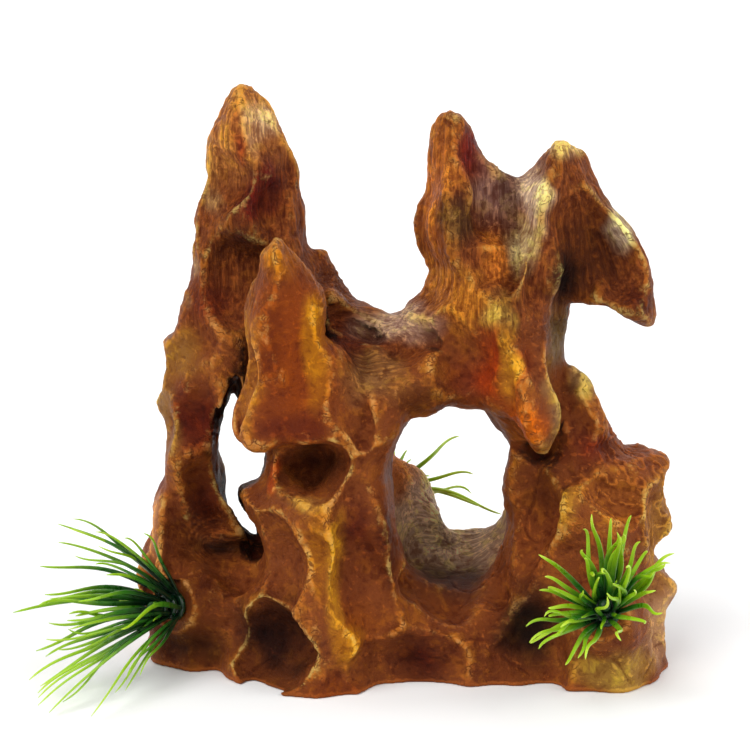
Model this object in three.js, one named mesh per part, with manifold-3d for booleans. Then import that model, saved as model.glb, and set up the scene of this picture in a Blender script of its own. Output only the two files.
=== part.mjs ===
// Cast-resin cave ornament for an aquarium, with three push-in tufts of soft plastic grass.
// Millimetres, +Z up. The origin is on the flat underside, and the front of the rock faces -Y.
// The rock is one casting: a tall tower on the left, a two-peaked crown on the right, a saddle
// between them, a fin in front of the tower, and a tunnel and a window that go right through.

import * as THREE from "three"
import { mergeVertices } from "three/addons/utils/BufferGeometryUtils.js"
import Module from "manifold-3d"

const wasm = await Module()
wasm.setup()

// ---- Driving dimensions ----

const ROCK_LOW = [-84, -60, -7] // corners of the space that the casting is shaped in
const ROCK_HIGH = [102, 58, 193]
const SKIN_CELL = 5.1 // spacing of the faceted skin
const UNDERSIDE = 0 // height of the flat face that the rock stands on

const WEAR_DEPTH = 0.9 // swell of the broad lumps left in the stone
const BAND_DEPTH = 0.6 // swell of the level bands round the stone
const WOBBLE = 1.5 // how far the edges of the scallops wander
const SOFT_RIM = 2.5 // how far the rim of a scallop is rounded over
const CRISP_RIM = 0.7
const RIM_SHARE = 0.7 // how far out on a scallop's half sizes its four sides are measured
const RIM_INWARD = 4 // most that a scallop's rim may lie inwards of its middle
const RIM_OUTWARD = 3 // and outwards of it
const LONGEST_REACH = 60 // farther than the stone goes on from any place inside it

const SOCKET_RADIUS = 3.4
const SOCKET_DEPTH = 10
const SEAT_RADIUS = 8.4 // flat seat faced off round each socket
const SEAT_HEIGHT = 14
const BOSS_RADIUS = 11 // round lump of stone that each socket is sunk in
const BOSS_DEPTH = 8 // how far behind the mouth the lump's middle lies
const BOSS_LENGTH = 10
const BOSS_BLEND = 5

const PLUG_RADIUS = 3.0
const PLUG_LENGTH = 9
const PIN_RADIUS = 1.0
const PIN_LENGTH = 10.4
const RING_BORE = 1.4
const RING_THICKNESS = 1.6
const RING_OUTER = { outer: 4.6, middle: 4.0, inner: 3.2 }
const RING_START = { outer: 0.4, middle: 3.2, inner: 6.3 }
const BLADE_START = { outer: 3.7, middle: 3.2, inner: 2.4 } // radius that the blades grow from
const CAP_START = 8.3
const CAP_LENGTH = 3.6
const CAP_RADIUS = 1.8

const BLADE_HALF_WIDTH = 0.95
const BLADE_HALF_THICKNESS = 0.45
const BLADE_STATIONS = 5
const BLADE_ARCH = { outer: 0.12, middle: 0.1, inner: 0.04 } // rise, as a share of the length
const BLADE_BOW = { outer: 0, middle: 1, inner: 4 } // how far a blade bows out round the cap

// Each tuft has the middle of its socket's mouth, the direction that it points, and the tips of
// its blades, measured from that mouth, one list for each of its three whorls.
const TUFTS = [
  {
    name: "left_tuft",
    mouth: [-62, -10, 20],
    points: [-0.72, -0.66, 0.15],
    tips: {
      outer: [
        [-9, -24, 30], [-22, -25, 30], [-30, -21, 33], [-33, -26, 34], [-41, -14, 18],
        [-50, -13, 2], [-16, -42, -13], [-9, -34, -13], [-23, -54, -18],
      ],
      middle: [
        [-28, -26, 25], [-19, -34, 20], [-43, -18, -8], [-43, -28, -16], [-39, -36, -17],
        [-39, -46, -18], [-34, -50, -17],
      ],
      inner: [[-37, -22, 10], [-39, -30, 8], [-36, -38, 2], [-28, -32, 12], [-34, -30, -4]],
    },
  },
  {
    name: "right_tuft",
    mouth: [70, -37, 26],
    points: [-0.1, -0.85, 0.5],
    tips: {
      outer: [
        [-5, -10, 35], [6, -12, 33], [-22, -10, 22], [-25, -14, -1], [-24, -20, -4],
        [-14, -28, -6], [-8, -30, -6], [20, -10, 21], [19, -16, 19],
      ],
      middle: [
        [0, -16, 31], [2, -22, 31], [-20, -20, 17], [-19, -26, 10], [-20, -28, 6], [-19, -32, 4],
        [9, -16, 26], [12, -24, 22], [15, -18, 22], [15, -28, 10], [3, -34, 1],
      ],
      inner: [[-8, -22, 26], [-3, -30, 20], [5, -28, 16], [-10, -28, 16], [2, -32, 22]],
    },
  },
  {
    name: "rear_tuft",
    mouth: [4, 38, 46],
    points: [0.1, 0.85, 0.5],
    tips: {
      outer: [
        [25, 12, 14], [39, 14, -12], [28, 14, -8], [-24, 14, 16], [-28, 14, 0], [-18, 18, -14],
        [8, 20, -20],
      ],
      middle: [[-12, 26, 18], [0, 24, 26], [-20, 24, 6], [-10, 26, -10], [12, 26, -12], [16, 26, -3]],
      inner: [[-4, 32, 14], [4, 32, 6], [-8, 30, 8]],
    },
  },
]

const STONE = new THREE.MeshStandardMaterial({ color: 0x8f5a2b, roughness: 0.5, metalness: 0 })
const STEM = new THREE.MeshStandardMaterial({ color: 0x12401c, roughness: 0.45, metalness: 0 })
const LEAF = new THREE.MeshStandardMaterial({ color: 0x6fae2a, roughness: 0.4, metalness: 0 })

// ---- Stone shapes: each is a function of x, y, z that is below zero inside the stone ----

// Blends two distances, rounding the join over about k.
function soften(a, b, k) {
  if (k <= 0) return Math.min(a, b)
  const h = THREE.MathUtils.clamp(0.5 + (0.5 * (b - a)) / k, 0, 1)
  return b + (a - b) * h - k * h * (1 - h)
}

// Distance from x, z to a smooth closed outline in the XZ plane, below zero inside it.
function outlineDistance(outline) {
  const knots = outline.map(([x, z]) => new THREE.Vector3(x, 0, z))
  const curve = new THREE.CatmullRomCurve3(knots, true, "catmullrom", 0.5)
  const ring = curve.getPoints(outline.length * 5)
  return (x, z) => {
    let nearest = Infinity
    let inside = false
    for (let i = 0; i + 1 < ring.length; i++) {
      const a = ring[i]
      const b = ring[i + 1]
      const ex = b.x - a.x
      const ez = b.z - a.z
      const along = ((x - a.x) * ex + (z - a.z) * ez) / (ex * ex + ez * ez)
      const t = THREE.MathUtils.clamp(along, 0, 1)
      nearest = Math.min(nearest, (x - a.x - t * ex) ** 2 + (z - a.z - t * ez) ** 2)
      if (a.z > z !== b.z > z && x < (ex * (z - a.z)) / ez + a.x) inside = !inside
    }
    return inside ? -Math.sqrt(nearest) : Math.sqrt(nearest)
  }
}

// A wall of stone with a drawn front outline. It is thickest, 2 * half, well inside the outline,
// rounds off towards its edge over the width round, and thins from height z0 up to z1. The
// outline moves sideways and up by drift for each millimetre towards the back.
function wall({ outline, middle, half, round, thin = [0, 1, 1], drift = [0, 0] }) {
  const edge = outlineDistance(outline)
  const [z0, z1, share] = thin
  const scale = Math.min(half, round) * 0.85
  return (x, y, z) => {
    const t = THREE.MathUtils.clamp((z - z0) / (z1 - z0), 0, 1)
    const depth = half * THREE.MathUtils.lerp(1, share, t)
    const back = y - middle
    const across = Math.max(0, 1 + edge(x - drift[0] * back, z - drift[1] * back) / round)
    return (Math.sqrt(across ** 2 + (back / depth) ** 2) - 1) * scale
  }
}

// A chain of cones with round ends. Each point is x, y, z and a radius.
function limb(...points) {
  return (x, y, z) => {
    let nearest = Infinity
    for (let i = 0; i + 1 < points.length; i++) {
      const [ax, ay, az, ar] = points[i]
      const [bx, by, bz, br] = points[i + 1]
      const dx = bx - ax
      const dy = by - ay
      const dz = bz - az
      const along = ((x - ax) * dx + (y - ay) * dy + (z - az) * dz) / (dx * dx + dy * dy + dz * dz)
      const t = THREE.MathUtils.clamp(along, 0, 1)
      const gap = (x - ax - t * dx) ** 2 + (y - ay - t * dy) ** 2 + (z - az - t * dz) ** 2
      nearest = Math.min(nearest, Math.sqrt(gap) - THREE.MathUtils.lerp(ar, br, t))
    }
    return nearest
  }
}

// An egg shape with a radius along each axis.
function egg([cx, cy, cz], [rx, ry, rz]) {
  return (x, y, z) => {
    const across = (x - cx) / rx
    const deep = (y - cy) / ry
    const up = (z - cz) / rz
    const reach = Math.sqrt(across ** 2 + deep ** 2 + up ** 2)
    const slope = Math.sqrt((across / rx) ** 2 + (deep / ry) ** 2 + (up / rz) ** 2) + 1e-9
    return (reach * (reach - 1)) / slope
  }
}

// The directions to the right and up on a face that looks along out, turned by tilt degrees.
function directionsOn(out, tilt) {
  const flat = new THREE.Vector3(-out.y, out.x, 0).normalize()
  const rise = out.clone().cross(flat)
  const turn = THREE.MathUtils.degToRad(tilt)
  const side = flat.clone().multiplyScalar(Math.cos(turn)).addScaledVector(rise, Math.sin(turn))
  return [side, out.clone().cross(side)]
}

// An egg shape whose short radius, deep, lies along out, with slightly wandering edges.
function bowl(centre, out, [wide, deep, tall], tilt) {
  const [side, up] = directionsOn(out, tilt)
  const far = Math.max(wide, deep, tall) + 8 // beyond this the bowl changes nothing
  const place = new THREE.Vector3()
  return (x, y, z) => {
    if (Math.abs(x - centre.x) > far) return far
    if (Math.abs(y - centre.y) > far) return far
    if (Math.abs(z - centre.z) > far) return far
    place.set(
      x + WOBBLE * Math.sin(0.23 * z + 0.9 * Math.sin(0.11 * x + 0.07 * y)),
      y,
      z + WOBBLE * Math.sin(0.27 * x + 0.5 + 1.1 * Math.sin(0.13 * z + 0.09 * y)),
    )
    place.sub(centre)
    const a = place.dot(side) / wide
    const b = place.dot(out) / deep
    const c = place.dot(up) / tall
    const reach = Math.sqrt(a ** 2 + b ** 2 + c ** 2)
    const slope = Math.sqrt((a / wide) ** 2 + (b / deep) ** 2 + (c / tall) ** 2) + 1e-9
    return (reach * (reach - 1)) / slope
  }
}

// Each of these takes stone, as a distance function, and returns it with a shape added or cut.
const added = (stone, shape, blend) => (x, y, z) => soften(stone(x, y, z), shape(x, y, z), blend)
const cutAway = (stone, shape, blend) => (x, y, z) => -soften(-stone(x, y, z), shape(x, y, z), blend)

// How far the stone goes on from a place inside it, on the way out.
function reachOf(stone, place, out) {
  const step = 0.5
  for (let reach = 0; reach < LONGEST_REACH; reach += step) {
    if (stone(...place.clone().addScaledVector(out, reach).toArray()) > 0) return reach
  }
  return 0
}

// The lump of stone that a tuft's socket is sunk in.
function boss({ mouth, points }) {
  const out = new THREE.Vector3(...points).normalize()
  const front = new THREE.Vector3(...mouth).addScaledVector(out, -BOSS_DEPTH)
  const back = front.clone().addScaledVector(out, -BOSS_LENGTH)
  return limb([...front.toArray(), BOSS_RADIUS], [...back.toArray(), BOSS_RADIUS])
}

// Cuts a scallop where the stone ends on the way out from a place inside it. Its rim lies where
// the stone ends on average a little inside the rim's four sides.
function scalloped(stone, scallop) {
  const [place, heading, wide, tall, depth, tilt = 0, rim = SOFT_RIM] = scallop
  const [roundness = 3, pitch = 0] = scallop.slice(7)
  const start = new THREE.Vector3(...place)
  const out = new THREE.Vector3(0, -1, 0)
    .applyAxisAngle(new THREE.Vector3(1, 0, 0), THREE.MathUtils.degToRad(-pitch))
    .applyAxisAngle(new THREE.Vector3(0, 0, 1), THREE.MathUtils.degToRad(heading))
  const [side, up] = directionsOn(out, tilt)
  const ends = [[side, wide], [side, -wide], [up, tall], [up, -tall]]
    .map(([way, size]) => start.clone().addScaledVector(way, RIM_SHARE * size))
    .map((rimPlace) => reachOf(stone, rimPlace, out))
    .filter((reach) => reach > 0)
  const middle = reachOf(stone, start, out)
  const average = ends.length ? ends.reduce((sum, end) => sum + end) / ends.length : middle
  const end = THREE.MathUtils.clamp(average, middle - RIM_INWARD, middle + RIM_OUTWARD)
  const deep = depth * roundness
  const spread = Math.sqrt(1 - (1 - 1 / roundness) ** 2)
  const centre = start.addScaledVector(out, end + deep - depth)
  return cutAway(stone, bowl(centre, out, [wide / spread, deep, tall / spread], tilt), rim)
}

// ---- The casting, built up and hollowed out in order ----

const towerOutline = [
  [-42, 183], [-47, 178], [-50, 167], [-53, 155], [-57, 144], [-58, 131], [-59, 118], [-61, 108],
  [-67, 101], [-69, 95], [-68, 84], [-70, 72], [-70, 63], [-65, 52], [-61, 35], [-43, 34],
  [-24, 42], [-10, 68], [-1, 98], [-9, 114], [-16, 123], [-21, 132], [-24, 145], [-23, 156],
  [-26, 163], [-32, 172], [-37, 180],
]
const leftFootOutline = [
  [-76, 29], [-72, 44], [-66, 52], [-59, 37], [-36, 34], [-27, 16], [-28, -25], [-70, -25],
  [-73, -1],
]
const saddleOutline = [
  [-14, 119], [-8, 114], [0, 111], [8, 111], [16, 117], [23, 119], [45, 115], [58, 112],
  [58, 92], [63, 84], [58, 71], [43, 71], [33, 78], [24, 80], [16, 78], [9, 72], [6, 64],
  [-2, 45], [-21, 51], [-24, 77], [-20, 103],
]
const crownOutline = [
  [24, 173], [20, 171], [17, 161], [14, 150], [13, 142], [14, 133], [17, 125], [15, 117],
  [11, 112], [20, 102], [33, 90], [45, 84], [57, 87], [58, 111], [62, 116], [70, 115], [78, 111],
  [83, 109], [86, 111], [85, 127], [79, 136], [73, 145], [69, 152], [63, 159], [57, 165],
  [52, 162], [47, 157], [42, 155], [37, 158], [32, 164], [28, 171],
]
const middleOutline = [
  [-33, 74], [-35, 61], [-41, 57], [-41, 54], [-38, 48], [-35, 41], [-37, 32], [-43, 22],
  [-47, 10], [-48, 0], [-43, -18], [3, -18], [6, -6], [11, 22], [9, 45], [5, 61], [6, 70],
  [8, 80], [-11, 86],
]
const rightOutline = [
  [41, 69], [42, 51], [40, 31], [40, -22], [95, -22], [93, 0], [92, 16], [94, 25], [91, 35],
  [94, 44], [91, 51], [93, 62], [88, 67], [78, 69], [71, 75], [68, 84], [65, 94], [62, 91],
  [58, 84], [52, 71],
]
const sillOutline = [[-2, 32], [8, 28], [24, 25], [40, 26], [59, 32], [60, -21], [-2, -21]]
const tunnelOutline = [
  [6, 66], [8, 77], [15, 83], [23, 85], [32, 83], [38, 77], [41, 66], [41, 51], [39, 39],
  [32, 35], [20, 34], [9, 39], [5, 51],
]
const rearSillOutline = [
  [1, 65], [7, 60], [14, 55], [19, 45], [26, 35], [34, 34], [40, 38], [43, 45], [51, 45],
  [51, -3], [-2, -3],
]
const finOutline = [
  [-30, 139], [-34, 135], [-36, 128], [-39, 121], [-39, 107], [-40, 95], [-42, 85], [-41, 77],
  [-37, 74], [-32, 73], [-23, 71], [-9, 73], [-8, 85], [-11, 101], [-15, 110], [-16, 120],
  [-21, 129], [-26, 136],
]
const windowOutline = [
  [-43, 92], [-48, 86], [-50, 76], [-49.5, 64], [-48.5, 53], [-44, 45], [-37, 40], [-36, 45],
  [-40, 51], [-41, 56], [-35, 59], [-33.5, 66], [-34, 71], [-38, 72], [-40, 78],
]

const masses = [
  // tower, its right shoulder, its back and its foot
  [wall({ outline: towerOutline, middle: 12, half: 20, round: 22, thin: [60, 185, 0.55] }), 0],
  [limb([-17, 16, 127, 2.2], [-14, 15, 116, 4.7], [-9, 12, 107, 7.5]), 3],
  [limb([-42, 22, 150, 8], [-44, 26, 110, 13], [-48, 26, 60, 16], [-46, 24, 15, 20]), 8],
  [wall({ outline: leftFootOutline, middle: 10, half: 26, round: 20, thin: [0, 60, 0.7] }), 6],
  // saddle, then the crown with the ridges of its two peaks
  [wall({ outline: saddleOutline, middle: 2, half: 20, round: 15, thin: [60, 120, 0.75] }), 5],
  [wall({ outline: crownOutline, middle: 0, half: 19, round: 18, thin: [100, 175, 0.45] }), 4],
  [limb([24, -4, 171, 1.6], [22, -11, 150, 3], [25, -14, 131, 3.6], [34, -15, 117, 4.5]), 4],
  [limb([57, -4, 163, 1.9], [51, -13, 148, 2.8], [44, -17, 131, 3.2], [40, -18, 118, 4]), 4],
  [limb([59, -2, 161, 1.9], [67, -9, 146, 2.4], [79, -8, 128, 2.7]), 4],
  [limb([24, 4, 150, 5], [30, 14, 130, 8], [40, 18, 100, 12], [44, 18, 80, 14]), 6],
  [limb([60, 3, 158, 4], [58, 12, 138, 7], [50, 16, 110, 10]), 6],
  // body, and its two feet
  [wall({ outline: middleOutline, middle: -10, half: 30, round: 24, thin: [20, 90, 0.7] }), 5],
  [wall({ outline: rightOutline, middle: 2, half: 36, round: 26, thin: [20, 100, 0.5] }), 5],
  [limb([63, -2, 92, 3.4], [66, -5, 78, 8]), 4],
  [wall({ outline: sillOutline, middle: 0, half: 30, round: 20 }), 8],
  [limb([-12, -26, 14, 8], [-12, -30, -1, 12.5]), 6],
  [limb([67, -14, 26, 12], [70, -18, 11, 15], [71, -20, -5, 17]), 6],
  // back
  [limb([-50, 24, 12, 18], [-15, 30, 14, 18], [20, 30, 12, 16], [62, 26, 12, 20]), 9],
  [limb([-8, 26, 14, 14], [-8, 26, 50, 12], [-4, 18, 84, 10]), 8],
  [limb([66, 22, 14, 18], [68, 24, 45, 15], [64, 14, 72, 10]), 8],
]
const waysThrough = [
  [wall({ outline: tunnelOutline, middle: -20, half: 90, round: 12 }), 3],
  [wall({ outline: windowOutline, middle: -5, half: 90, round: 6, drift: [-0.055, -0.25] }), 1.2],
  [egg([73, 0, 102], [13, 60, 9]), 3],
]
const frontMasses = [
  // sill behind the tunnel
  [wall({ outline: rearSillOutline, middle: 26, half: 9, round: 9 }), 3],
  // arch over the tunnel, fin, and spike
  [limb([-15, -18, 98, 9], [-8, -20, 84, 10], [6, -15, 92, 8], [24, -13, 96, 7]), 7],
  [wall({ outline: finOutline, middle: -20, half: 14, round: 9, thin: [60, 135, 0.6] }), 2],
  [limb([28, -8, 112, 9], [38, -13, 98, 7], [47, -20, 82, 4.5], [50.5, -22, 74, 2.6]), 5],
  [limb([40, -7, 126, 6], [44, -13, 110, 8.5], [49, -17, 94, 7.5], [51, -21, 80, 4.5]), 4],
  [limb([35, -17, 119, 2.2], [41, -23, 106, 2.4], [45, -26, 95, 2.4], [49.5, -26, 76, 2]), 5],
]

// Each scallop: a place inside the stone, the heading that it faces (0 is the front, 90 the
// right), half its width and height, its depth, and then its tilt, rim, roundness and pitch
// where they matter.
const bodyScallops = [
  // tower: left and right facets, hollow, and the folds between them
  [[-46, 6, 160], -35, 10, 25, 3.6, -8, 0.8],
  [[-33, 6, 167], 35, 9.5, 17, 3, 20, 0.8],
  [[-31, 6, 146], 25, 6, 13, 2.6, 6],
  [[-48, 6, 147], -15, 5, 10, 1.4, -30, 1.0],
  [[-42.5, 8, 132], -5, 11, 11, 8, 8, 2.2, 1.8, -25],
  [[-43, 8, 122], 0, 9, 11, 3, 0, 4],
  [[-56, 8, 108], -15, 8, 9, 2.4, 0, 3],
  // column beside the window
  [[-61, 8, 96], -25, 7, 7, 2.2, 0, 3],
  [[-57, 4, 80], -6, 10, 13.5, 5, 0, 3],
  [[-66, 8, 76], -60, 8, 14, 2.2, 0, 2],
  [[-54, 4, 50], 0, 9.5, 17, 6.5, -8, 2.4, 2.4],
  [[-71, 8, 38], -30, 6, 13, 2.4, 12, 1.2],
  [[-48, 2, 32], -5, 13, 7, 3, 0, 3],
  [[-56, 4, 15], -12, 15, 10, 2.4, 0, 3],
  // saddle
  [[-7, 0, 107], 0, 9, 6, 5, -12, 1.2, 2.2, 25],
  [[10, 0, 103], 5, 9, 7, 2, 0, 3],
  // crown: left flank, red strip, valley, triangle, and the broad hollow behind the second ridge
  [[18, 0, 145], -50, 4, 22, 1.6],
  [[27, 0, 160], 25, 4.5, 11, 2, 6, 1.0],
  [[38, 4, 149], 5, 10, 14, 7, -8, 3, 2.4],
  [[36, 4, 129], 0, 6.5, 9.5, 4, 0, 1.2, 2.4],
  [[62, 4, 135], 18, 14, 23, 7.5, 30, 1.2, 2.4],
  [[50, 4, 112], 40, 6, 16, 2, 0, 3],
  [[20, 0, 100], -15, 10, 7, 2, 0, 3],
  // middle of the body: ridges run down from the ledge to the foot
  [[-31, -12, 42], -10, 9.5, 15, 4.5, 25, 1.2],
  [[-18.5, -12, 46], 0, 3.4, 14, 1.7, 22, 0.9],
  [[-4, -12, 42], 8, 11, 27, 5.5, 6, 1.2],
  [[-31.5, -14, 14.5], -8, 16, 14.5, 12, -10, CRISP_RIM, 1.4],
  [[-10, -22, 5], 10, 9, 8, 2, 0, 1.5],
  [[14, -8, 8], 0, 15, 13.5, 4.5, 0, 1.0],
  [[48, -8, 16], 0, 12, 17, 8, 0, 3, 2],
  [[22, -8, 27], 0, 13, 6, 3, 0, 3],
  // right of the body
  [[50, -6, 58], -18, 9, 19, 4, -6],
  [[62, -4, 72], -5, 8, 9, 2.2, 20],
  [[74, -4, 62], 10, 10, 8, 2.6],
  [[60, -8, 38], -10, 9, 10, 3],
  [[84, -4, 46], 35, 8, 10, 2.6],
  [[84, -4, 22], 30, 9, 12, 2.6],
  [[88, 8, 56], 80, 12, 7, 3],
  [[86, 6, 34], 85, 13, 7, 3.5],
  [[86, 10, 12], 95, 13, 8, 3],
  [[70, 4, 84], 60, 7, 8, 2],
  // left flank
  [[-62, 14, 118], -80, 9, 12, 2.5],
  [[-60, 14, 92], -95, 10, 9, 4],
  [[-62, 16, 66], -90, 12, 11, 3.5],
  [[-66, 14, 38], -85, 12, 8, 3.5],
  [[-64, 16, 14], -95, 14, 10, 3.5],
  [[-50, 14, 146], -100, 7, 14, 1],
  // back
  [[-40, 14, 152], 170, 8, 18, 2.2, 5],
  [[-48, 18, 124], 190, 8, 16, 3.5],
  [[-36, 18, 104], 165, 7, 16, 3],
  [[-50, 22, 84], 185, 10, 14, 4],
  [[-56, 22, 52], 200, 10, 13, 3.5],
  [[-28, 18, 60], 180, 8, 16, 2.5],
  [[-40, 24, 26], 180, 13, 12, 4],
  [[-60, 20, 16], 205, 11, 11, 3],
  [[-12, 12, 88], 180, 9, 12, 4],
  [[6, 8, 98], 180, 9, 9, 3.5],
  [[-8, 26, 34], 180, 9, 16, 3],
  [[14, 30, 18], 180, 13, 11, 3.5],
  [[26, 8, 136], 190, 6, 18, 2.5, -5],
  [[42, 10, 128], 180, 8, 18, 5.5, 8],
  [[62, 6, 142], 170, 9, 14, 4, -30],
  [[52, 12, 104], 180, 9, 12, 3.5],
  [[36, 14, 96], 190, 8, 10, 3],
  [[40, 28, 24], 180, 12, 15, 4],
  [[64, 20, 58], 180, 11, 16, 4],
  [[80, 14, 66], 150, 9, 10, 3],
  [[66, 26, 22], 180, 14, 15, 4],
  [[86, 18, 30], 140, 9, 14, 3],
]
const frontScallops = [
  // fin, and the niche under it
  [[-24, -20, 112], 6, 7.5, 27, 2.2, 5, 1.2],
  [[-36, -20, 108], -50, 4, 24, 1.4, 0, 0.8],
  [[-27, -20, 84], 0, 12, 9, 1.4, 0, 2],
  [[-14, -20, 94], 35, 5, 14, 1.6, 8, 2],
  [[-30, -12, 108], 180, 8, 20, 2.5],
  [[-21, -12, 68], -4, 13.5, 9.5, 15, 0, 2, 1.5],
  // spike
  [[34, -8, 100], -28, 8, 20, 3.6, 26, 0.8],
  [[54, -8, 97], 34, 6.5, 22, 3, 6, 0.8],
  // rear sill
  [[8, 26, 46], 180, 9, 9, 2.5],
  [[30, 26, 22], 180, 12, 10, 3],
]

// Broad lumps and level bands, as water would wear the stone.
function wear(x, y, z) {
  const across = Math.sin(0.33 * x + 1.7 * Math.sin(0.05 * z + 0.04 * y))
  const deep = Math.sin(0.29 * y + 1.3 * Math.sin(0.06 * z + 0.05 * x))
  const bands = Math.sin(0.21 * z + 0.9 * Math.sin(0.1 * x) + 0.8 * Math.sin(0.12 * y))
  return WEAR_DEPTH * across * deep + BAND_DEPTH * bands
}

function castingDistance() {
  let stone = () => LONGEST_REACH
  for (const [shape, blend] of masses) stone = added(stone, shape, blend)
  for (const [shape, blend] of waysThrough) stone = cutAway(stone, shape, blend)
  stone = bodyScallops.reduce(scalloped, stone)
  for (const [shape, blend] of frontMasses) stone = added(stone, shape, blend)
  stone = frontScallops.reduce(scalloped, stone)
  for (const one of TUFTS) stone = added(stone, boss(one), BOSS_BLEND)
  return (x, y, z) => stone(x, y, z) + wear(x, y, z)
}

// ---- Skin: a closed faceted surface where a distance function is zero ----

const CORNERS = [...Array(8).keys()].map((n) => [n & 1, (n >> 1) & 1, (n >> 2) & 1])
const cornerNumber = ([i, j, k]) => i + 2 * j + 4 * k
const steppedAlong = (place, axis, by) => place.map((value, n) => (n === axis ? value + by : value))

// Sets of a cell's inside corners that touch along its edges.
function cornerGroups(inside) {
  const groups = []
  const seen = new Set()
  for (const start of inside) {
    if (seen.has(start)) continue
    const group = [start]
    seen.add(start)
    for (const corner of group) {
      for (const axis of [0, 1, 2]) {
        const other = corner ^ (1 << axis)
        if (!inside.includes(other) || seen.has(other)) continue
        seen.add(other)
        group.push(other)
      }
    }
    groups.push(group)
  }
  return groups
}

// The steepest way out of the stone at a point, one long.
function wayOut(distance, { x, y, z }) {
  const reach = 0.4
  return new THREE.Vector3(
    distance(x + reach, y, z) - distance(x - reach, y, z),
    distance(x, y + reach, z) - distance(x, y - reach, z),
    distance(x, y, z + reach) - distance(x, y, z - reach),
  ).normalize()
}

// Where the surface lies between a point inside and a point outside, and the way out there.
function crossingOf(distance, inside, outside) {
  let near = inside
  let far = outside
  for (let halving = 0; halving < 7; halving++) {
    const middle = near.clone().lerp(far, 0.5)
    if (distance(...middle.toArray()) < 0) near = middle
    else far = middle
  }
  return { place: near, out: wayOut(distance, near) }
}

// The point where the flat planes through the crossings meet best, within limit of their middle.
// This keeps the ridges between scallops crisp.
function meetingPoint(crossings, limit) {
  const middle = new THREE.Vector3()
  for (const { place } of crossings) middle.addScaledVector(place, 1 / crossings.length)
  const point = middle.clone()
  for (let round = 0; round < 10; round++) {
    const pull = new THREE.Vector3()
    for (const { place, out } of crossings) {
      pull.addScaledVector(out, out.dot(place.clone().sub(point)) / crossings.length)
    }
    point.add(pull)
  }
  return middle.add(point.sub(middle).clampLength(0, limit))
}

function skinOf(distance, low, high, cell) {
  const counts = low.map((value, axis) => Math.round((high[axis] - value) / cell) + 1)
  const indexOf = ([i, j, k]) => (i * counts[1] + j) * counts[2] + k
  const pointAt = (place) => place.map((value, axis) => low[axis] + value * cell)
  const everyPlace = []
  for (let i = 0; i < counts[0]; i++) {
    for (let j = 0; j < counts[1]; j++) {
      for (let k = 0; k < counts[2]; k++) everyPlace.push([i, j, k])
    }
  }
  // The outermost samples count as outside, so the skin always closes.
  const atRim = (place) => place.some((value, axis) => value === 0 || value === counts[axis] - 1)
  const samples = everyPlace.map((place) => {
    const value = distance(...pointAt(place))
    return atRim(place) ? Math.max(value, 0.25 * cell) : value
  })

  const crossingAt = new Map()
  const positions = []
  const vertexOf = new Map()
  for (const place of everyPlace) {
    if (place.some((value, axis) => value === counts[axis] - 1)) continue
    const corners = CORNERS.map((offset) => place.map((value, axis) => value + offset[axis]))
    const values = corners.map((corner) => samples[indexOf(corner)])
    const inside = values.flatMap((value, n) => (value < 0 ? [n] : []))
    if (inside.length === 0 || inside.length === 8) continue
    for (const group of cornerGroups(inside)) {
      const crossings = []
      for (const n of group) {
        for (const axis of [0, 1, 2]) {
          const other = n ^ (1 << axis)
          if (values[other] < 0) continue
          const edge = `${indexOf(corners[n])} ${indexOf(corners[other])}`
          if (!crossingAt.has(edge)) {
            const ends = [corners[n], corners[other]].map((c) => new THREE.Vector3(...pointAt(c)))
            crossingAt.set(edge, crossingOf(distance, ...ends))
          }
          crossings.push(crossingAt.get(edge))
        }
      }
      for (const n of group) vertexOf.set(indexOf(place) * 8 + n, positions.length / 3)
      positions.push(...meetingPoint(crossings, 0.45 * cell).toArray())
    }
  }

  const triangles = []
  const vertex = (n) => new THREE.Vector3().fromArray(positions, 3 * n)
  for (const place of everyPlace) {
    for (const axis of [0, 1, 2]) {
      if (place[axis] === counts[axis] - 1) continue
      const next = steppedAlong(place, axis, 1)
      const startsInside = samples[indexOf(place)] < 0
      if (startsInside === samples[indexOf(next)] < 0) continue
      const second = (axis + 1) % 3
      const third = (axis + 2) % 3
      const insidePlace = startsInside ? place : next
      const quad = [[-1, -1], [0, -1], [0, 0], [-1, 0]].map(([b, c]) => {
        const cellPlace = steppedAlong(steppedAlong(place, second, b), third, c)
        const corner = insidePlace.map((value, n) => value - cellPlace[n])
        return vertexOf.get(indexOf(cellPlace) * 8 + cornerNumber(corner))
      })
      if (!startsInside) quad.reverse()
      const [a, b, c, d] = quad
      const shortFirst = vertex(a).distanceTo(vertex(c)) < vertex(b).distanceTo(vertex(d))
      triangles.push(...(shortFirst ? [a, b, c, a, c, d] : [a, b, d, b, c, d]))
    }
  }
  const geometry = new THREE.BufferGeometry()
  geometry.setAttribute("position", new THREE.Float32BufferAttribute(positions, 3))
  geometry.setIndex(triangles)
  return geometry
}

// ---- Solids: three.js geometry to manifold-3d and back ----

function solidOf(geometry) {
  const bare = geometry.clone()
  bare.deleteAttribute("normal")
  bare.deleteAttribute("uv")
  const merged = mergeVertices(bare, 1e-4)
  return new wasm.Manifold(
    new wasm.Mesh({
      numProp: 3,
      vertProperties: merged.attributes.position.array,
      triVerts: new Uint32Array(merged.index.array),
    }),
  )
}

function geometryOf(solid) {
  const mesh = solid.getMesh()
  const geometry = new THREE.BufferGeometry()
  geometry.setAttribute("position", new THREE.BufferAttribute(mesh.vertProperties, 3))
  geometry.setIndex(new THREE.BufferAttribute(mesh.triVerts, 1))
  geometry.computeVertexNormals()
  return geometry
}

// Turns a geometry that stands on +Z so that it stands on the given direction instead.
function aim(geometry, direction) {
  const turn = new THREE.Quaternion().setFromUnitVectors(new THREE.Vector3(0, 0, 1), direction)
  return geometry.applyQuaternion(turn)
}

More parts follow.
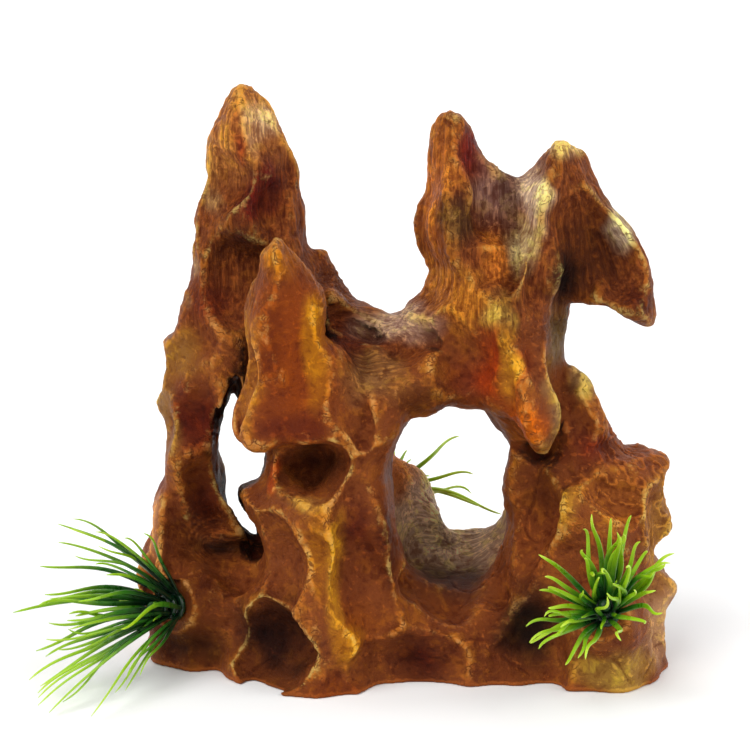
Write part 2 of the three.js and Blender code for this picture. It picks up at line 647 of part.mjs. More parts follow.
// A turned shape about +Z. The profile is pairs of radius and height, on the axis at both ends
// or closed on itself.
function turned(profile, sides) {
  const outline = profile.map(([radius, height]) => new THREE.Vector2(radius, height))
  return new THREE.LatheGeometry(outline, sides).rotateX(Math.PI / 2)
}

// ---- Sub-parts ----

function rockCasting(tufts) {
  let rock = solidOf(skinOf(castingDistance(), ROCK_LOW, ROCK_HIGH, SKIN_CELL))
  const ground = new THREE.BoxGeometry(400, 400, 100).translate(0, 0, UNDERSIDE - 50)
  rock = rock.subtract(solidOf(ground))
  for (const { mouth, points } of tufts) {
    const direction = new THREE.Vector3(...points).normalize()
    const hole = turned([[0, -SOCKET_DEPTH], [SOCKET_RADIUS, -SOCKET_DEPTH], [SOCKET_RADIUS, 0],
      [SEAT_RADIUS, 0], [SEAT_RADIUS, SEAT_HEIGHT], [0, SEAT_HEIGHT]], 20)
    rock = rock.subtract(solidOf(aim(hole, direction).translate(...mouth)))
  }
  return geometryOf(rock)
}

function peg(direction) {
  const profile = [[0, -PLUG_LENGTH], [PLUG_RADIUS - 0.6, -PLUG_LENGTH],
    [PLUG_RADIUS, -PLUG_LENGTH + 1], [PLUG_RADIUS, 0], [PIN_RADIUS, 0],
    [PIN_RADIUS, PIN_LENGTH], [0, PIN_LENGTH]]
  return aim(turned(profile, 14), direction)
}

// A hollow-backed dome that is pushed on the pin to hold the whorls.
function cap(direction) {
  const roof = CAP_START + CAP_LENGTH
  const bore = PIN_LENGTH + 0.3
  const profile = [[0, bore], [RING_BORE - 0.1, bore], [RING_BORE - 0.1, CAP_START],
    [CAP_RADIUS, CAP_START], [CAP_RADIUS, roof - 1.2], [CAP_RADIUS * 0.6, roof - 0.3], [0, roof]]
  return aim(turned(profile, 12), direction)
}

// A tapered blade with a diamond section, from its root along an arched curve to its tip.
function blade(root, tip, outward, direction, level) {
  const chord = tip.clone().sub(root)
  const crest = root.clone().lerp(tip, 0.55)
  crest.z += chord.length() * BLADE_ARCH[level]
  crest.addScaledVector(outward, BLADE_BOW[level])
  const spine = new THREE.QuadraticBezierCurve3(root, crest, tip)
  const side = outward.clone().cross(direction)
  const positions = []
  for (let i = 0; i < BLADE_STATIONS; i++) {
    const t = i / BLADE_STATIONS
    const centre = spine.getPoint(t)
    const face = side.clone().cross(spine.getTangent(t)).normalize()
    const share = 1 - 0.75 * t * t
    const wide = BLADE_HALF_WIDTH * share
    const thick = BLADE_HALF_THICKNESS * share
    for (const [across, out] of [[wide, 0], [0, thick], [-wide, 0], [0, -thick]]) {
      const corner = centre.clone().addScaledVector(side, across).addScaledVector(face, out)
      positions.push(...corner.toArray())
    }
  }
  positions.push(...tip.toArray())
  const last = 4 * BLADE_STATIONS
  const triangles = [0, 1, 2, 0, 2, 3]
  for (let i = 0; i < BLADE_STATIONS; i++) {
    for (let n = 0; n < 4; n++) {
      const here = 4 * i + n
      const beside = 4 * i + ((n + 1) % 4)
      if (i === BLADE_STATIONS - 1) triangles.push(here, last, beside)
      else triangles.push(here, here + 4, beside, beside, here + 4, beside + 4)
    }
  }
  const geometry = new THREE.BufferGeometry()
  geometry.setAttribute("position", new THREE.Float32BufferAttribute(positions, 3))
  geometry.setIndex(triangles)
  return geometry
}

// One moulded whorl: a ring that threads on the pin, with its blades growing out of it.
function whorl(direction, level, tips) {
  const low = RING_START[level]
  const high = low + RING_THICKNESS
  const wide = RING_OUTER[level]
  const ring = turned([[RING_BORE, low], [wide, low], [wide, high], [RING_BORE, high],
    [RING_BORE, low]], 16)
  let whole = solidOf(aim(ring, direction))
  const middle = direction.clone().multiplyScalar((low + high) / 2)
  for (const place of tips) {
    const tip = new THREE.Vector3(...place)
    const outward = tip.clone().projectOnPlane(direction).normalize()
    const root = middle.clone().addScaledVector(outward, BLADE_START[level])
    whole = whole.add(solidOf(blade(root, tip, outward, direction, level)))
  }
  return geometryOf(whole)
}

function named(name, geometry, material) {
  const mesh = new THREE.Mesh(geometry, material)
  mesh.name = name
  return mesh
}

function tuft({ name, mouth, points, tips }) {
  const direction = new THREE.Vector3(...points).normalize()
  const group = new THREE.Group()
  group.add(named(`${name}_peg`, peg(direction), STEM))
  for (const level of ["outer", "middle", "inner"]) {
    group.add(named(`${name}_${level}_whorl`, whorl(direction, level, tips[level]), LEAF))
  }
  group.add(named(`${name}_cap`, cap(direction), STEM))
  group.position.set(...mouth)
  return group
}

const ornament = new THREE.Group()
ornament.add(named("rock_casting", rockCasting(TUFTS), STONE))
for (const one of TUFTS) ornament.add(tuft(one))

export default ornament
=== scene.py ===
# Resin cave ornament: the finely sculpted and painted casting, and its three tufts of soft grass.
import math

import bpy
import numpy as np
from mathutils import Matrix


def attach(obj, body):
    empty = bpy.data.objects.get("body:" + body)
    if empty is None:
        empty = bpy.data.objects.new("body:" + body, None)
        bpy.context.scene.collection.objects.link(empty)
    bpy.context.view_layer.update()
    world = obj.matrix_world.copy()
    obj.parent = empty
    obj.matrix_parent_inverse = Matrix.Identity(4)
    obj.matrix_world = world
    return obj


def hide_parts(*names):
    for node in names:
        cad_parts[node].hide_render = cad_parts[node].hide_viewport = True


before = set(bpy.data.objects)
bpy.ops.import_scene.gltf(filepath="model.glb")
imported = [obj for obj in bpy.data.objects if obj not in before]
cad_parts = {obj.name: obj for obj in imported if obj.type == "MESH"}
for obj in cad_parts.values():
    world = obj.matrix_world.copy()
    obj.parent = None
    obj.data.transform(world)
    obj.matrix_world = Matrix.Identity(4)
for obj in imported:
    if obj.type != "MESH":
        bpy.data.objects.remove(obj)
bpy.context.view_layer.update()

import openvdb
from mathutils import Vector

MM = 0.001

# ---- Driving values, in millimetres, in the frame of the CAD ----

FINE_CELL = 0.75
GRID_CELL = FINE_CELL  # spacing of the grid that the casting is sculpted on
GRID_LOW = (-84, -60, -6)
GRID_HIGH = (102, 58, 192)
GRID_MARGIN = 6.0  # how far outside a shape its blend can reach
KNOWN_DEPTH = 3 * GRID_CELL  # how far from the surface the mesher looks at distances

WEAR_DEPTH = 0.9  # swell of the broad lumps left in the stone
BAND_DEPTH = 0.6  # swell of the level bands round the stone
WOBBLE = 1.5  # how far the edges of the scallops wander
SOFT_RIM = 2.5  # how far the rim of a scallop is rounded over
CRISP_RIM = 0.7
RIM_SHARE = 0.7  # how far out on a scallop's half sizes its four sides are measured
RIM_INWARD = 4.0  # most that a scallop's rim may lie inwards of its middle
RIM_OUTWARD = 3.0  # and outwards of it
LONGEST_REACH = 60.0  # farther than the stone goes on from any place inside it

SOCKET_RADIUS = 3.4
SOCKET_DEPTH = 10.0
SEAT_RADIUS = 8.4  # flat seat faced off round each socket
SEAT_HEIGHT = 14.0
BOSS_RADIUS = 11.0  # round lump of stone that each socket is sunk in
BOSS_DEPTH = 8.0  # how far behind the mouth the lump's middle lies
BOSS_LENGTH = 10.0
BOSS_BLEND = 5.0

RING_BORE = 1.4
RING_THICKNESS = 1.6
WHORLS = {
    # ring radius, ring start, radius that the blades grow from, arch, bow
    "outer": (4.6, 0.4, 3.7, 0.12, 0.0),
    "middle": (4.0, 3.2, 3.2, 0.10, 1.0),
    "inner": (3.2, 6.3, 2.4, 0.04, 4.0),
}
BLADE_HALF_WIDTH = 0.95
BLADE_HALF_THICKNESS = 0.7
BLADE_STATIONS = 18
BLADE_SIDES = 10
HEART_LEAVES = 7  # small leaves that stand round the middle of each tuft
HEART_REACH = 20.0  # tips nearer the mouth than this are heart leaves

TUFTS = {
    "left_tuft": {
        "mouth": (-62, -10, 20),
        "points": (-0.72, -0.66, 0.15),
        "ripeness": -0.3,  # how far the blades have turned from green to lime
        "outer": [
            (-9, -24, 30), (-22, -25, 30), (-30, -21, 33), (-33, -26, 34), (-41, -14, 18),
            (-50, -13, 2), (-16, -42, -13), (-9, -34, -13), (-23, -54, -18),
        ],
        "middle": [
            (-28, -26, 25), (-19, -34, 20), (-43, -18, -8), (-43, -28, -16), (-39, -36, -17),
            (-39, -46, -18), (-34, -50, -17),
        ],
        "inner": [(-37, -22, 10), (-39, -30, 8), (-36, -38, 2), (-28, -32, 12), (-34, -30, -4)],
    },
    "right_tuft": {
        "mouth": (70, -37, 26),
        "points": (-0.1, -0.85, 0.5),
        "ripeness": 0.6,
        "outer": [
            (-5, -10, 35), (6, -12, 33), (-22, -10, 22), (-25, -14, -1), (-24, -20, -4),
            (-14, -28, -6), (-8, -30, -6), (20, -10, 21), (19, -16, 19),
        ],
        "middle": [
            (0, -16, 31), (2, -22, 31), (-20, -20, 17), (-19, -26, 10), (-20, -28, 6),
            (-19, -32, 4), (9, -16, 26), (12, -24, 22), (15, -18, 22), (15, -28, 10), (3, -34, 1),
        ],
        "inner": [(-8, -22, 26), (-3, -30, 20), (5, -28, 16), (-10, -28, 16), (2, -32, 22)],
    },
    "rear_tuft": {
        "mouth": (4, 38, 46),
        "points": (0.1, 0.85, 0.5),
        "ripeness": 2.5,
        "outer": [
            (25, 12, 14), (39, 14, -12), (28, 14, -8), (-24, 14, 16), (-28, 14, 0),
            (-18, 18, -14), (8, 20, -20),
        ],
        "middle": [
            (-12, 26, 18), (0, 24, 26), (-20, 24, 6), (-10, 26, -10), (12, 26, -12), (16, 26, -3),
        ],
        "inner": [(-4, 32, 14), (4, 32, 6), (-8, 30, 8)],
    },
}

# How each kind of paint changes the linear red, green and blue of the coat under it.
DIM = (0.42, 0.24, 0.18, 1)
GLOW = (1.6, 1.9, 1.1, 1)
LIGHT = (2.3, 2.5, 2.0, 1)
HALO = (1.5, 1.85, 1.05, 1)
STONE_BUMP = 0.0007  # metres, as are the rest of these values
PLASTIC_BUMP = 0.0002

CAMERA_TILT = 12  # degrees
CAMERA_DISTANCE = 0.8
AIM_HEIGHT = 0.092
LENS = 122.9  # millimetres, on a sensor 36 wide
SENSOR = 36

SHEET_HALF_WIDTH = 14
SHEET_FLAT = 1.2  # how far behind the ornament the sheet starts to curve up
SHEET_CURVE = 0.9
SHEET_TOP = 12
WORLD_LIGHT = 0.32
LEFT_LIGHT = 2.3
RIGHT_LIGHT = 1.5
SUN_WIDTH = 45  # degrees

# ---- Stone shapes: distance functions, below zero inside, each with the box that it fills ----


def unit(vector):
    return np.array(vector, float) / np.linalg.norm(vector)


def dot(place, way):
    return place[0] * way[0] + place[1] * way[1] + place[2] * way[2]


def soften(a, b, k):
    """The smaller of two distances, with the join rounded over about k."""
    if k <= 0:
        return np.minimum(a, b)
    h = np.clip(0.5 + 0.5 * (b - a) / k, 0, 1)
    return b + (a - b) * h - k * h * (1 - h)


def closed_spline(knots, per_knot=5):
    """Points along a closed Catmull-Rom curve through the knots."""
    p1 = np.array(knots, float)
    p0 = np.roll(p1, 1, 0)
    p2 = np.roll(p1, -1, 0)
    p3 = np.roll(p1, -2, 0)
    rows = []
    for t in np.arange(per_knot) / per_knot:
        curve = 2 * p1 + (p2 - p0) * t + (2 * p0 - 5 * p1 + 4 * p2 - p3) * t**2
        rows.append(0.5 * (curve + (3 * p1 - p0 - 3 * p2 + p3) * t**3))
    return np.stack(rows, 1).reshape(-1, 2)


def outline_distance(ring, x, z):
    nearest = np.full(np.broadcast(x, z).shape, 1e9, np.float32)
    inside = np.zeros(nearest.shape, bool)
    for (ax, az), (bx, bz) in zip(ring, np.roll(ring, -1, 0)):
        ex, ez = bx - ax, bz - az
        t = np.clip(((x - ax) * ex + (z - az) * ez) / (ex * ex + ez * ez + 1e-9), 0, 1)
        nearest = np.minimum(nearest, (x - ax - t * ex) ** 2 + (z - az - t * ez) ** 2)
        if az != bz:
            inside ^= ((az > z) != (bz > z)) & (x < ex * (z - az) / ez + ax)
    return np.where(inside, -1, 1) * np.sqrt(nearest)


def wall(outline, middle, half, round_over, thin=(0, 1, 1), drift=(0.0, 0.0)):
    """Stone with a drawn front outline, 2 * half thick well inside it, thinning with height.

    The outline moves sideways and up by drift for each millimetre towards the back.
    """
    ring = closed_spline(outline)
    z0, z1, share = thin
    scale = min(half, round_over) * 0.85

    def distance(x, y, z):
        depth = half * (1 + (share - 1) * np.clip((z - z0) / (z1 - z0), 0, 1))
        back = y - middle
        edge = outline_distance(ring, x - drift[0] * back, z - drift[1] * back)
        across = np.maximum(0, 1 + edge / round_over)
        return (np.sqrt(across**2 + (back / depth) ** 2) - 1) * scale

    slide, lift = np.abs(drift) * half
    low = (ring[:, 0].min() - slide, middle - half, ring[:, 1].min() - lift)
    high = (ring[:, 0].max() + slide, middle + half, ring[:, 1].max() + lift)
    return distance, low, high


def limb(*points):
    """A chain of cones with round ends; each point is x, y, z and a radius."""
    places = np.array(points, float)

    def distance(x, y, z):
        nearest = None
        for a, b in zip(places[:-1], places[1:]):
            d = b[:3] - a[:3]
            t = np.clip(dot((x - a[0], y - a[1], z - a[2]), d) / (d @ d), 0, 1)
            gaps = [at - a[n] - t * d[n] for n, at in enumerate((x, y, z))]
            gap = np.sqrt(dot(gaps, gaps)) - (a[3] + (b[3] - a[3]) * t)
            nearest = gap if nearest is None else np.minimum(nearest, gap)
        return nearest

    reach = places[:, 3:]
    return distance, (places[:, :3] - reach).min(0), (places[:, :3] + reach).max(0)


def ellipsoid(place, size):
    """Distance to an ellipsoid, from a place given along its three axes from its middle."""
    parts = [along / radius for along, radius in zip(place, size)]
    reach = np.sqrt(sum(part**2 for part in parts))
    slope = np.sqrt(sum((part / radius) ** 2 for part, radius in zip(parts, size))) + 1e-6
    return reach * (reach - 1) / slope


def egg(centre, size):
    """An ellipsoid with a radius along each axis."""
    cx, cy, cz = centre

    def distance(x, y, z):
        return ellipsoid((x - cx, y - cy, z - cz), size)

    return distance, np.subtract(centre, size), np.add(centre, size)


def turned(out, tilt):
    """The directions to the right and up on a face that looks along out, turned by tilt degrees."""
    flat = np.array((-out[1], out[0], 0.0)) / math.hypot(out[0], out[1])
    rise = np.cross(out, flat)
    cos, sin = math.cos(math.radians(tilt)), math.sin(math.radians(tilt))
    return flat * cos + rise * sin, rise * cos - flat * sin


def bowl(centre, out, size, tilt):
    """An ellipsoid whose short axis lies along out, with slightly wandering edges."""
    side, up = turned(out, tilt)

    def distance(x, y, z):
        px = x - centre[0] + WOBBLE * np.sin(0.23 * z + 0.9 * np.sin(0.11 * x + 0.07 * y))
        py = y - centre[1]
        pz = z - centre[2] + WOBBLE * np.sin(0.27 * x + 0.5 + 1.1 * np.sin(0.13 * z + 0.09 * y))
        return ellipsoid([dot((px, py, pz), way) for way in (side, out, up)], size)

    span = max(size) + WOBBLE
    return distance, np.array(centre) - span, np.array(centre) + span


def from_corners(base, part, value_at):
    """Blends the values at the eight corners of a grid's cells, by the part of the way across."""
    total = 0
    for corner in range(8):
        offset = np.array(((corner >> 2) & 1, (corner >> 1) & 1, corner & 1))
        total = total + np.where(offset, part, 1 - part).prod(1) * value_at(base + offset)
    return total


class Stone:
    """Distances on a regular grid, below zero inside the stone."""

    def __init__(self, low, high, cell):
        self.low = np.array(low, float)
        self.cell = cell
        self.axes = [
            np.arange(a, b, cell, dtype=np.float32).reshape([-1 if i == n else 1 for i in range(3)])
            for n, (a, b) in enumerate(zip(low, high))
        ]
        self.values = np.full([axis.size for axis in self.axes], LONGEST_REACH, np.float32)

    def block(self, low, high):
        """The part of the grid that a box reaches, and its coordinates."""
        slices = []
        for axis, a, b in zip(self.axes, low, high):
            ends = np.searchsorted(axis.ravel(), (a - GRID_MARGIN, b + GRID_MARGIN))
            slices.append(slice(int(ends[0]), int(ends[1])))
        x, y, z = self.axes
        return tuple(slices), x[slices[0]], y[:, slices[1]], z[:, :, slices[2]]

    def add(self, shape, blend, sign=1):
        """Joins a shape on, with the join rounded over about blend. A sign of -1 cuts it away."""
        distance, low, high = shape
        where, x, y, z = self.block(low, high)
        if self.values[where].size:
            self.values[where] = sign * soften(sign * self.values[where], distance(x, y, z), blend)

    def cut(self, shape, blend):
        self.add(shape, blend, -1)

    def at(self, points):
        """Distances at points, one row each, by trilinear interpolation."""
        place = (points - self.low) / self.cell
        most = np.array(self.values.shape) - 2
        base = np.clip(np.floor(place).astype(int), 0, most)
        part = np.clip(place - base, 0, 1)
        return from_corners(base, part, lambda corner: self.values[tuple(corner.T)])

    def reach(self, place, out):
        """How far the stone goes on from a place inside it, on the way out."""
        steps = np.arange(0, LONGEST_REACH, 0.25)
        outside = np.nonzero(self.at(steps[:, None] * out + place) > 0)[0]
        return steps[outside[0]] if outside.size else 0.0

    def dent(self, place, heading, wide, tall, depth, tilt=0, rim=SOFT_RIM, roundness=3.0, pitch=0):
        """Cuts a scallop where the stone ends on the way out from a place.

        Its rim lies where the stone ends on average a little inside the rim's four sides.
        """
        a, b = math.radians(heading), math.radians(pitch)
        out = np.array((math.sin(a) * math.cos(b), -math.cos(a) * math.cos(b), math.sin(b)))
        deep = depth * roundness
        spread = math.sqrt(1 - (1 - 1 / roundness) ** 2)
        side, up = turned(out, tilt)
        place = np.array(place, float)
        sides = (side * wide, -side * wide, up * tall, -up * tall)
        ends = [self.reach(place + RIM_SHARE * way, out) for way in sides]
        middle = self.reach(place, out)
        ends = [end for end in ends if end > 0] or [middle]
        end = min(max(sum(ends) / len(ends), middle - RIM_INWARD), middle + RIM_OUTWARD)
        centre = place + out * (end + deep - depth)
        self.cut(bowl(centre, out, (wide / spread, deep, tall / spread), tilt), rim)


# ---- The casting ----

TOWER_OUTLINE = [
    (-42, 183), (-47, 178), (-50, 167), (-53, 155), (-57, 144), (-58, 131), (-59, 118), (-61, 108),
    (-67, 101), (-69, 95), (-68, 84), (-70, 72), (-70, 63), (-65, 52), (-61, 35), (-43, 34), (-24, 42),
    (-10, 68), (-1, 98), (-9, 114), (-16, 123), (-21, 132), (-24, 145), (-23, 156), (-26, 163), (-32, 172),
    (-37, 180),
]
LEFT_FOOT_OUTLINE = [
    (-76, 29), (-72, 44), (-66, 52), (-59, 37), (-36, 34), (-27, 16), (-28, -25), (-70, -25), (-73, -1),
]
SADDLE_OUTLINE = [
    (-14, 119), (-8, 114), (0, 111), (8, 111), (16, 117), (23, 119), (45, 115), (58, 112), (58, 92),
    (63, 84), (58, 71), (43, 71), (33, 78), (24, 80), (16, 78), (9, 72), (6, 64), (-2, 45), (-21, 51),
    (-24, 77), (-20, 103),
]
CROWN_OUTLINE = [
    (24, 173), (20, 171), (17, 161), (14, 150), (13, 142), (14, 133), (17, 125), (15, 117), (11, 112),
    (20, 102), (33, 90), (45, 84), (57, 87), (58, 111), (62, 116), (70, 115), (78, 111), (83, 109),
    (86, 111), (85, 127), (79, 136), (73, 145), (69, 152), (63, 159), (57, 165), (52, 162), (47, 157),
    (42, 155), (37, 158), (32, 164), (28, 171),
]
MIDDLE_OUTLINE = [
    (-33, 74), (-35, 61), (-41, 57), (-41, 54), (-38, 48), (-35, 41), (-37, 32), (-43, 22), (-47, 10),
    (-48, 0), (-43, -18), (3, -18), (6, -6), (11, 22), (9, 45), (5, 61), (6, 70), (8, 80), (-11, 86),
]
RIGHT_OUTLINE = [
    (41, 69), (42, 51), (40, 31), (40, -22), (95, -22), (93, 0), (92, 16), (94, 25), (91, 35), (94, 44),
    (91, 51), (93, 62), (88, 67), (78, 69), (71, 75), (68, 84), (65, 94), (62, 91), (58, 84), (52, 71),
]
SILL_OUTLINE = [(-2, 32), (8, 28), (24, 25), (40, 26), (59, 32), (60, -21), (-2, -21)]
TUNNEL_OUTLINE = [
    (6, 66), (8, 77), (15, 83), (23, 85), (32, 83), (38, 77), (41, 66), (41, 51), (39, 39), (32, 35),
    (20, 34), (9, 39), (5, 51),
]
REAR_SILL_OUTLINE = [
    (1, 65), (7, 60), (14, 55), (19, 45), (26, 35), (34, 34), (40, 38), (43, 45), (51, 45), (51, -3),
    (-2, -3),
]
FIN_OUTLINE = [
    (-30, 139), (-34, 135), (-36, 128), (-39, 121), (-39, 107), (-40, 95), (-42, 85), (-41, 77), (-37, 74),
    (-32, 73), (-23, 71), (-9, 73), (-8, 85), (-11, 101), (-15, 110), (-16, 120), (-21, 129), (-26, 136),
]
WINDOW_OUTLINE = [
    (-43, 92), (-48, 86), (-50, 76), (-49.5, 64), (-48.5, 53), (-44, 45), (-37, 40), (-36, 45), (-40, 51),
    (-41, 56), (-35, 59), (-33.5, 66), (-34, 71), (-38, 72), (-40, 78),
]


# Each is a shape, and the width that its join is rounded over.
MASSES = [
    # tower, its right shoulder, its back and its foot
    (wall(TOWER_OUTLINE, 12, 20, 22, (60, 185, 0.55)), 0),
    (limb((-17, 16, 127, 2.2), (-14, 15, 116, 4.7), (-9, 12, 107, 7.5)), 3),
    (limb((-42, 22, 150, 8), (-44, 26, 110, 13), (-48, 26, 60, 16), (-46, 24, 15, 20)), 8),
    (wall(LEFT_FOOT_OUTLINE, 10, 26, 20, (0, 60, 0.7)), 6),
    # saddle, then the crown with the ridges of its two peaks
    (wall(SADDLE_OUTLINE, 2, 20, 15, (60, 120, 0.75)), 5),
    (wall(CROWN_OUTLINE, 0, 19, 18, (100, 175, 0.45)), 4),
    (limb((24, -4, 171, 1.6), (22, -11, 150, 3), (25, -14, 131, 3.6), (34, -15, 117, 4.5)), 4),
    (limb((57, -4, 163, 1.9), (51, -13, 148, 2.8), (44, -17, 131, 3.2), (40, -18, 118, 4)), 4),
    (limb((59, -2, 161, 1.9), (67, -9, 146, 2.4), (79, -8, 128, 2.7)), 4),
    (limb((24, 4, 150, 5), (30, 14, 130, 8), (40, 18, 100, 12), (44, 18, 80, 14)), 6),
    (limb((60, 3, 158, 4), (58, 12, 138, 7), (50, 16, 110, 10)), 6),
    # body, and its two feet
    (wall(MIDDLE_OUTLINE, -10, 30, 24, (20, 90, 0.7)), 5),
    (wall(RIGHT_OUTLINE, 2, 36, 26, (20, 100, 0.5)), 5),
    (limb((63, -2, 92, 3.4), (66, -5, 78, 8)), 4),
    (wall(SILL_OUTLINE, 0, 30, 20), 8),
    (limb((-12, -26, 14, 8), (-12, -30, -1, 12.5)), 6),
    (limb((67, -14, 26, 12), (70, -18, 11, 15), (71, -20, -5, 17)), 6),
    # back
    (limb((-50, 24, 12, 18), (-15, 30, 14, 18), (20, 30, 12, 16), (62, 26, 12, 20)), 9),
    (limb((-8, 26, 14, 14), (-8, 26, 50, 12), (-4, 18, 84, 10)), 8),
    (limb((66, 22, 14, 18), (68, 24, 45, 15), (64, 14, 72, 10)), 8),
]
WAYS_THROUGH = [
    (wall(TUNNEL_OUTLINE, -20, 90, 12), 3),
    (wall(WINDOW_OUTLINE, -5, 90, 6, drift=(-0.055, -0.25)), 1.2),
    (egg((73, 0, 102), (13, 60, 9)), 3),
]
FRONT_MASSES = [
    # sill behind the tunnel
    (wall(REAR_SILL_OUTLINE, 26, 9, 9), 3),
    # arch over the tunnel, fin, and spike
    (limb((-15, -18, 98, 9), (-8, -20, 84, 10), (6, -15, 92, 8), (24, -13, 96, 7)), 7),
    (wall(FIN_OUTLINE, -20, 14, 9, (60, 135, 0.6)), 2),
    (limb((28, -8, 112, 9), (38, -13, 98, 7), (47, -20, 82, 4.5), (50.5, -22, 74, 2.6)), 5),
    (limb((40, -7, 126, 6), (44, -13, 110, 8.5), (49, -17, 94, 7.5), (51, -21, 80, 4.5)), 4),
    (limb((35, -17, 119, 2.2), (41, -23, 106, 2.4), (45, -26, 95, 2.4), (49.5, -26, 76, 2)), 5),
]

# Each scallop: a place inside the stone, the heading that it faces (0 is the front, 90 the right),
# half its width and height, its depth, and then its tilt, rim, roundness and pitch where they matter.
BODY_SCALLOPS = [
    # tower: left and right facets, hollow, and the folds between them
    ((-46, 6, 160), -35, 10, 25, 3.6, -8, 0.8), ((-33, 6, 167), 35, 9.5, 17, 3, 20, 0.8),
    ((-31, 6, 146), 25, 6, 13, 2.6, 6), ((-48, 6, 147), -15, 5, 10, 1.4, -30, 1.0),
    ((-42.5, 8, 132), -5, 11, 11, 8, 8, 2.2, 1.8, -25), ((-43, 8, 122), 0, 9, 11, 3, 0, 4),
    ((-56, 8, 108), -15, 8, 9, 2.4, 0, 3),
    # column beside the window
    ((-61, 8, 96), -25, 7, 7, 2.2, 0, 3), ((-57, 4, 80), -6, 10, 13.5, 5, 0, 3),
    ((-66, 8, 76), -60, 8, 14, 2.2, 0, 2), ((-54, 4, 50), 0, 9.5, 17, 6.5, -8, 2.4, 2.4),
    ((-71, 8, 38), -30, 6, 13, 2.4, 12, 1.2), ((-48, 2, 32), -5, 13, 7, 3, 0, 3),
    ((-56, 4, 15), -12, 15, 10, 2.4, 0, 3),
    # saddle
    ((-7, 0, 107), 0, 9, 6, 5, -12, 1.2, 2.2, 25), ((10, 0, 103), 5, 9, 7, 2, 0, 3),
    # crown: left flank, red strip, valley, triangle, and the broad hollow behind the second ridge
    ((18, 0, 145), -50, 4, 22, 1.6), ((27, 0, 160), 25, 4.5, 11, 2, 6, 1.0),
    ((38, 4, 149), 5, 10, 14, 7, -8, 3, 2.4), ((36, 4, 129), 0, 6.5, 9.5, 4, 0, 1.2, 2.4),
    ((62, 4, 135), 18, 14, 23, 7.5, 30, 1.2, 2.4), ((50, 4, 112), 40, 6, 16, 2, 0, 3),
    ((20, 0, 100), -15, 10, 7, 2, 0, 3),
    # middle of the body: ridges run down from the ledge to the foot
    ((-31, -12, 42), -10, 9.5, 15, 4.5, 25, 1.2), ((-18.5, -12, 46), 0, 3.4, 14, 1.7, 22, 0.9),
    ((-4, -12, 42), 8, 11, 27, 5.5, 6, 1.2),
    ((-31.5, -14, 14.5), -8, 16, 14.5, 12, -10, CRISP_RIM, 1.4), ((-10, -22, 5), 10, 9, 8, 2, 0, 1.5),
    ((14, -8, 8), 0, 15, 13.5, 4.5, 0, 1.0), ((48, -8, 16), 0, 12, 17, 8, 0, 3, 2),
    ((22, -8, 27), 0, 13, 6, 3, 0, 3),
    # right of the body
    ((50, -6, 58), -18, 9, 19, 4, -6), ((62, -4, 72), -5, 8, 9, 2.2, 20),
    ((74, -4, 62), 10, 10, 8, 2.6), ((60, -8, 38), -10, 9, 10, 3), ((84, -4, 46), 35, 8, 10, 2.6),
    ((84, -4, 22), 30, 9, 12, 2.6), ((88, 8, 56), 80, 12, 7, 3), ((86, 6, 34), 85, 13, 7, 3.5),
    ((86, 10, 12), 95, 13, 8, 3), ((70, 4, 84), 60, 7, 8, 2),
    # left flank
    ((-62, 14, 118), -80, 9, 12, 2.5), ((-60, 14, 92), -95, 10, 9, 4),
    ((-62, 16, 66), -90, 12, 11, 3.5), ((-66, 14, 38), -85, 12, 8, 3.5),
    ((-64, 16, 14), -95, 14, 10, 3.5), ((-50, 14, 146), -100, 7, 14, 1),
    # back
    ((-40, 14, 152), 170, 8, 18, 2.2, 5), ((-48, 18, 124), 190, 8, 16, 3.5),
    ((-36, 18, 104), 165, 7, 16, 3), ((-50, 22, 84), 185, 10, 14, 4), ((-56, 22, 52), 200, 10, 13, 3.5),
    ((-28, 18, 60), 180, 8, 16, 2.5), ((-40, 24, 26), 180, 13, 12, 4), ((-60, 20, 16), 205, 11, 11, 3),
    ((-12, 12, 88), 180, 9, 12, 4), ((6, 8, 98), 180, 9, 9, 3.5), ((-8, 26, 34), 180, 9, 16, 3),
    ((14, 30, 18), 180, 13, 11, 3.5), ((26, 8, 136), 190, 6, 18, 2.5, -5),
    ((42, 10, 128), 180, 8, 18, 5.5, 8), ((62, 6, 142), 170, 9, 14, 4, -30),
    ((52, 12, 104), 180, 9, 12, 3.5), ((36, 14, 96), 190, 8, 10, 3), ((40, 28, 24), 180, 12, 15, 4),
    ((64, 20, 58), 180, 11, 16, 4), ((80, 14, 66), 150, 9, 10, 3), ((66, 26, 22), 180, 14, 15, 4),
    ((86, 18, 30), 140, 9, 14, 3),
]
FRONT_SCALLOPS = [
    # fin, and the niche under it
    ((-24, -20, 112), 6, 7.5, 27, 2.2, 5, 1.2), ((-36, -20, 108), -50, 4, 24, 1.4, 0, 0.8),
    ((-27, -20, 84), 0, 12, 9, 1.4, 0, 2), ((-14, -20, 94), 35, 5, 14, 1.6, 8, 2),
    ((-30, -12, 108), 180, 8, 20, 2.5), ((-21, -12, 68), -4, 13.5, 9.5, 15, 0, 2, 1.5),
    # spike
    ((34, -8, 100), -28, 8, 20, 3.6, 26, 0.8), ((54, -8, 97), 34, 6.5, 22, 3, 6, 0.8),
    # rear sill
    ((8, 26, 46), 180, 9, 9, 2.5), ((30, 26, 22), 180, 12, 10, 3),
]


def wear(x, y, z):
    """Broad lumps and level bands, as water would wear the stone."""
    across = np.sin(0.33 * x + 1.7 * np.sin(0.05 * z + 0.04 * y))
    deep = np.sin(0.29 * y + 1.3 * np.sin(0.06 * z + 0.05 * x))
    bands = np.sin(0.21 * z + 0.9 * np.sin(0.1 * x) + 0.8 * np.sin(0.12 * y))
    return WEAR_DEPTH * across * deep + BAND_DEPTH * bands


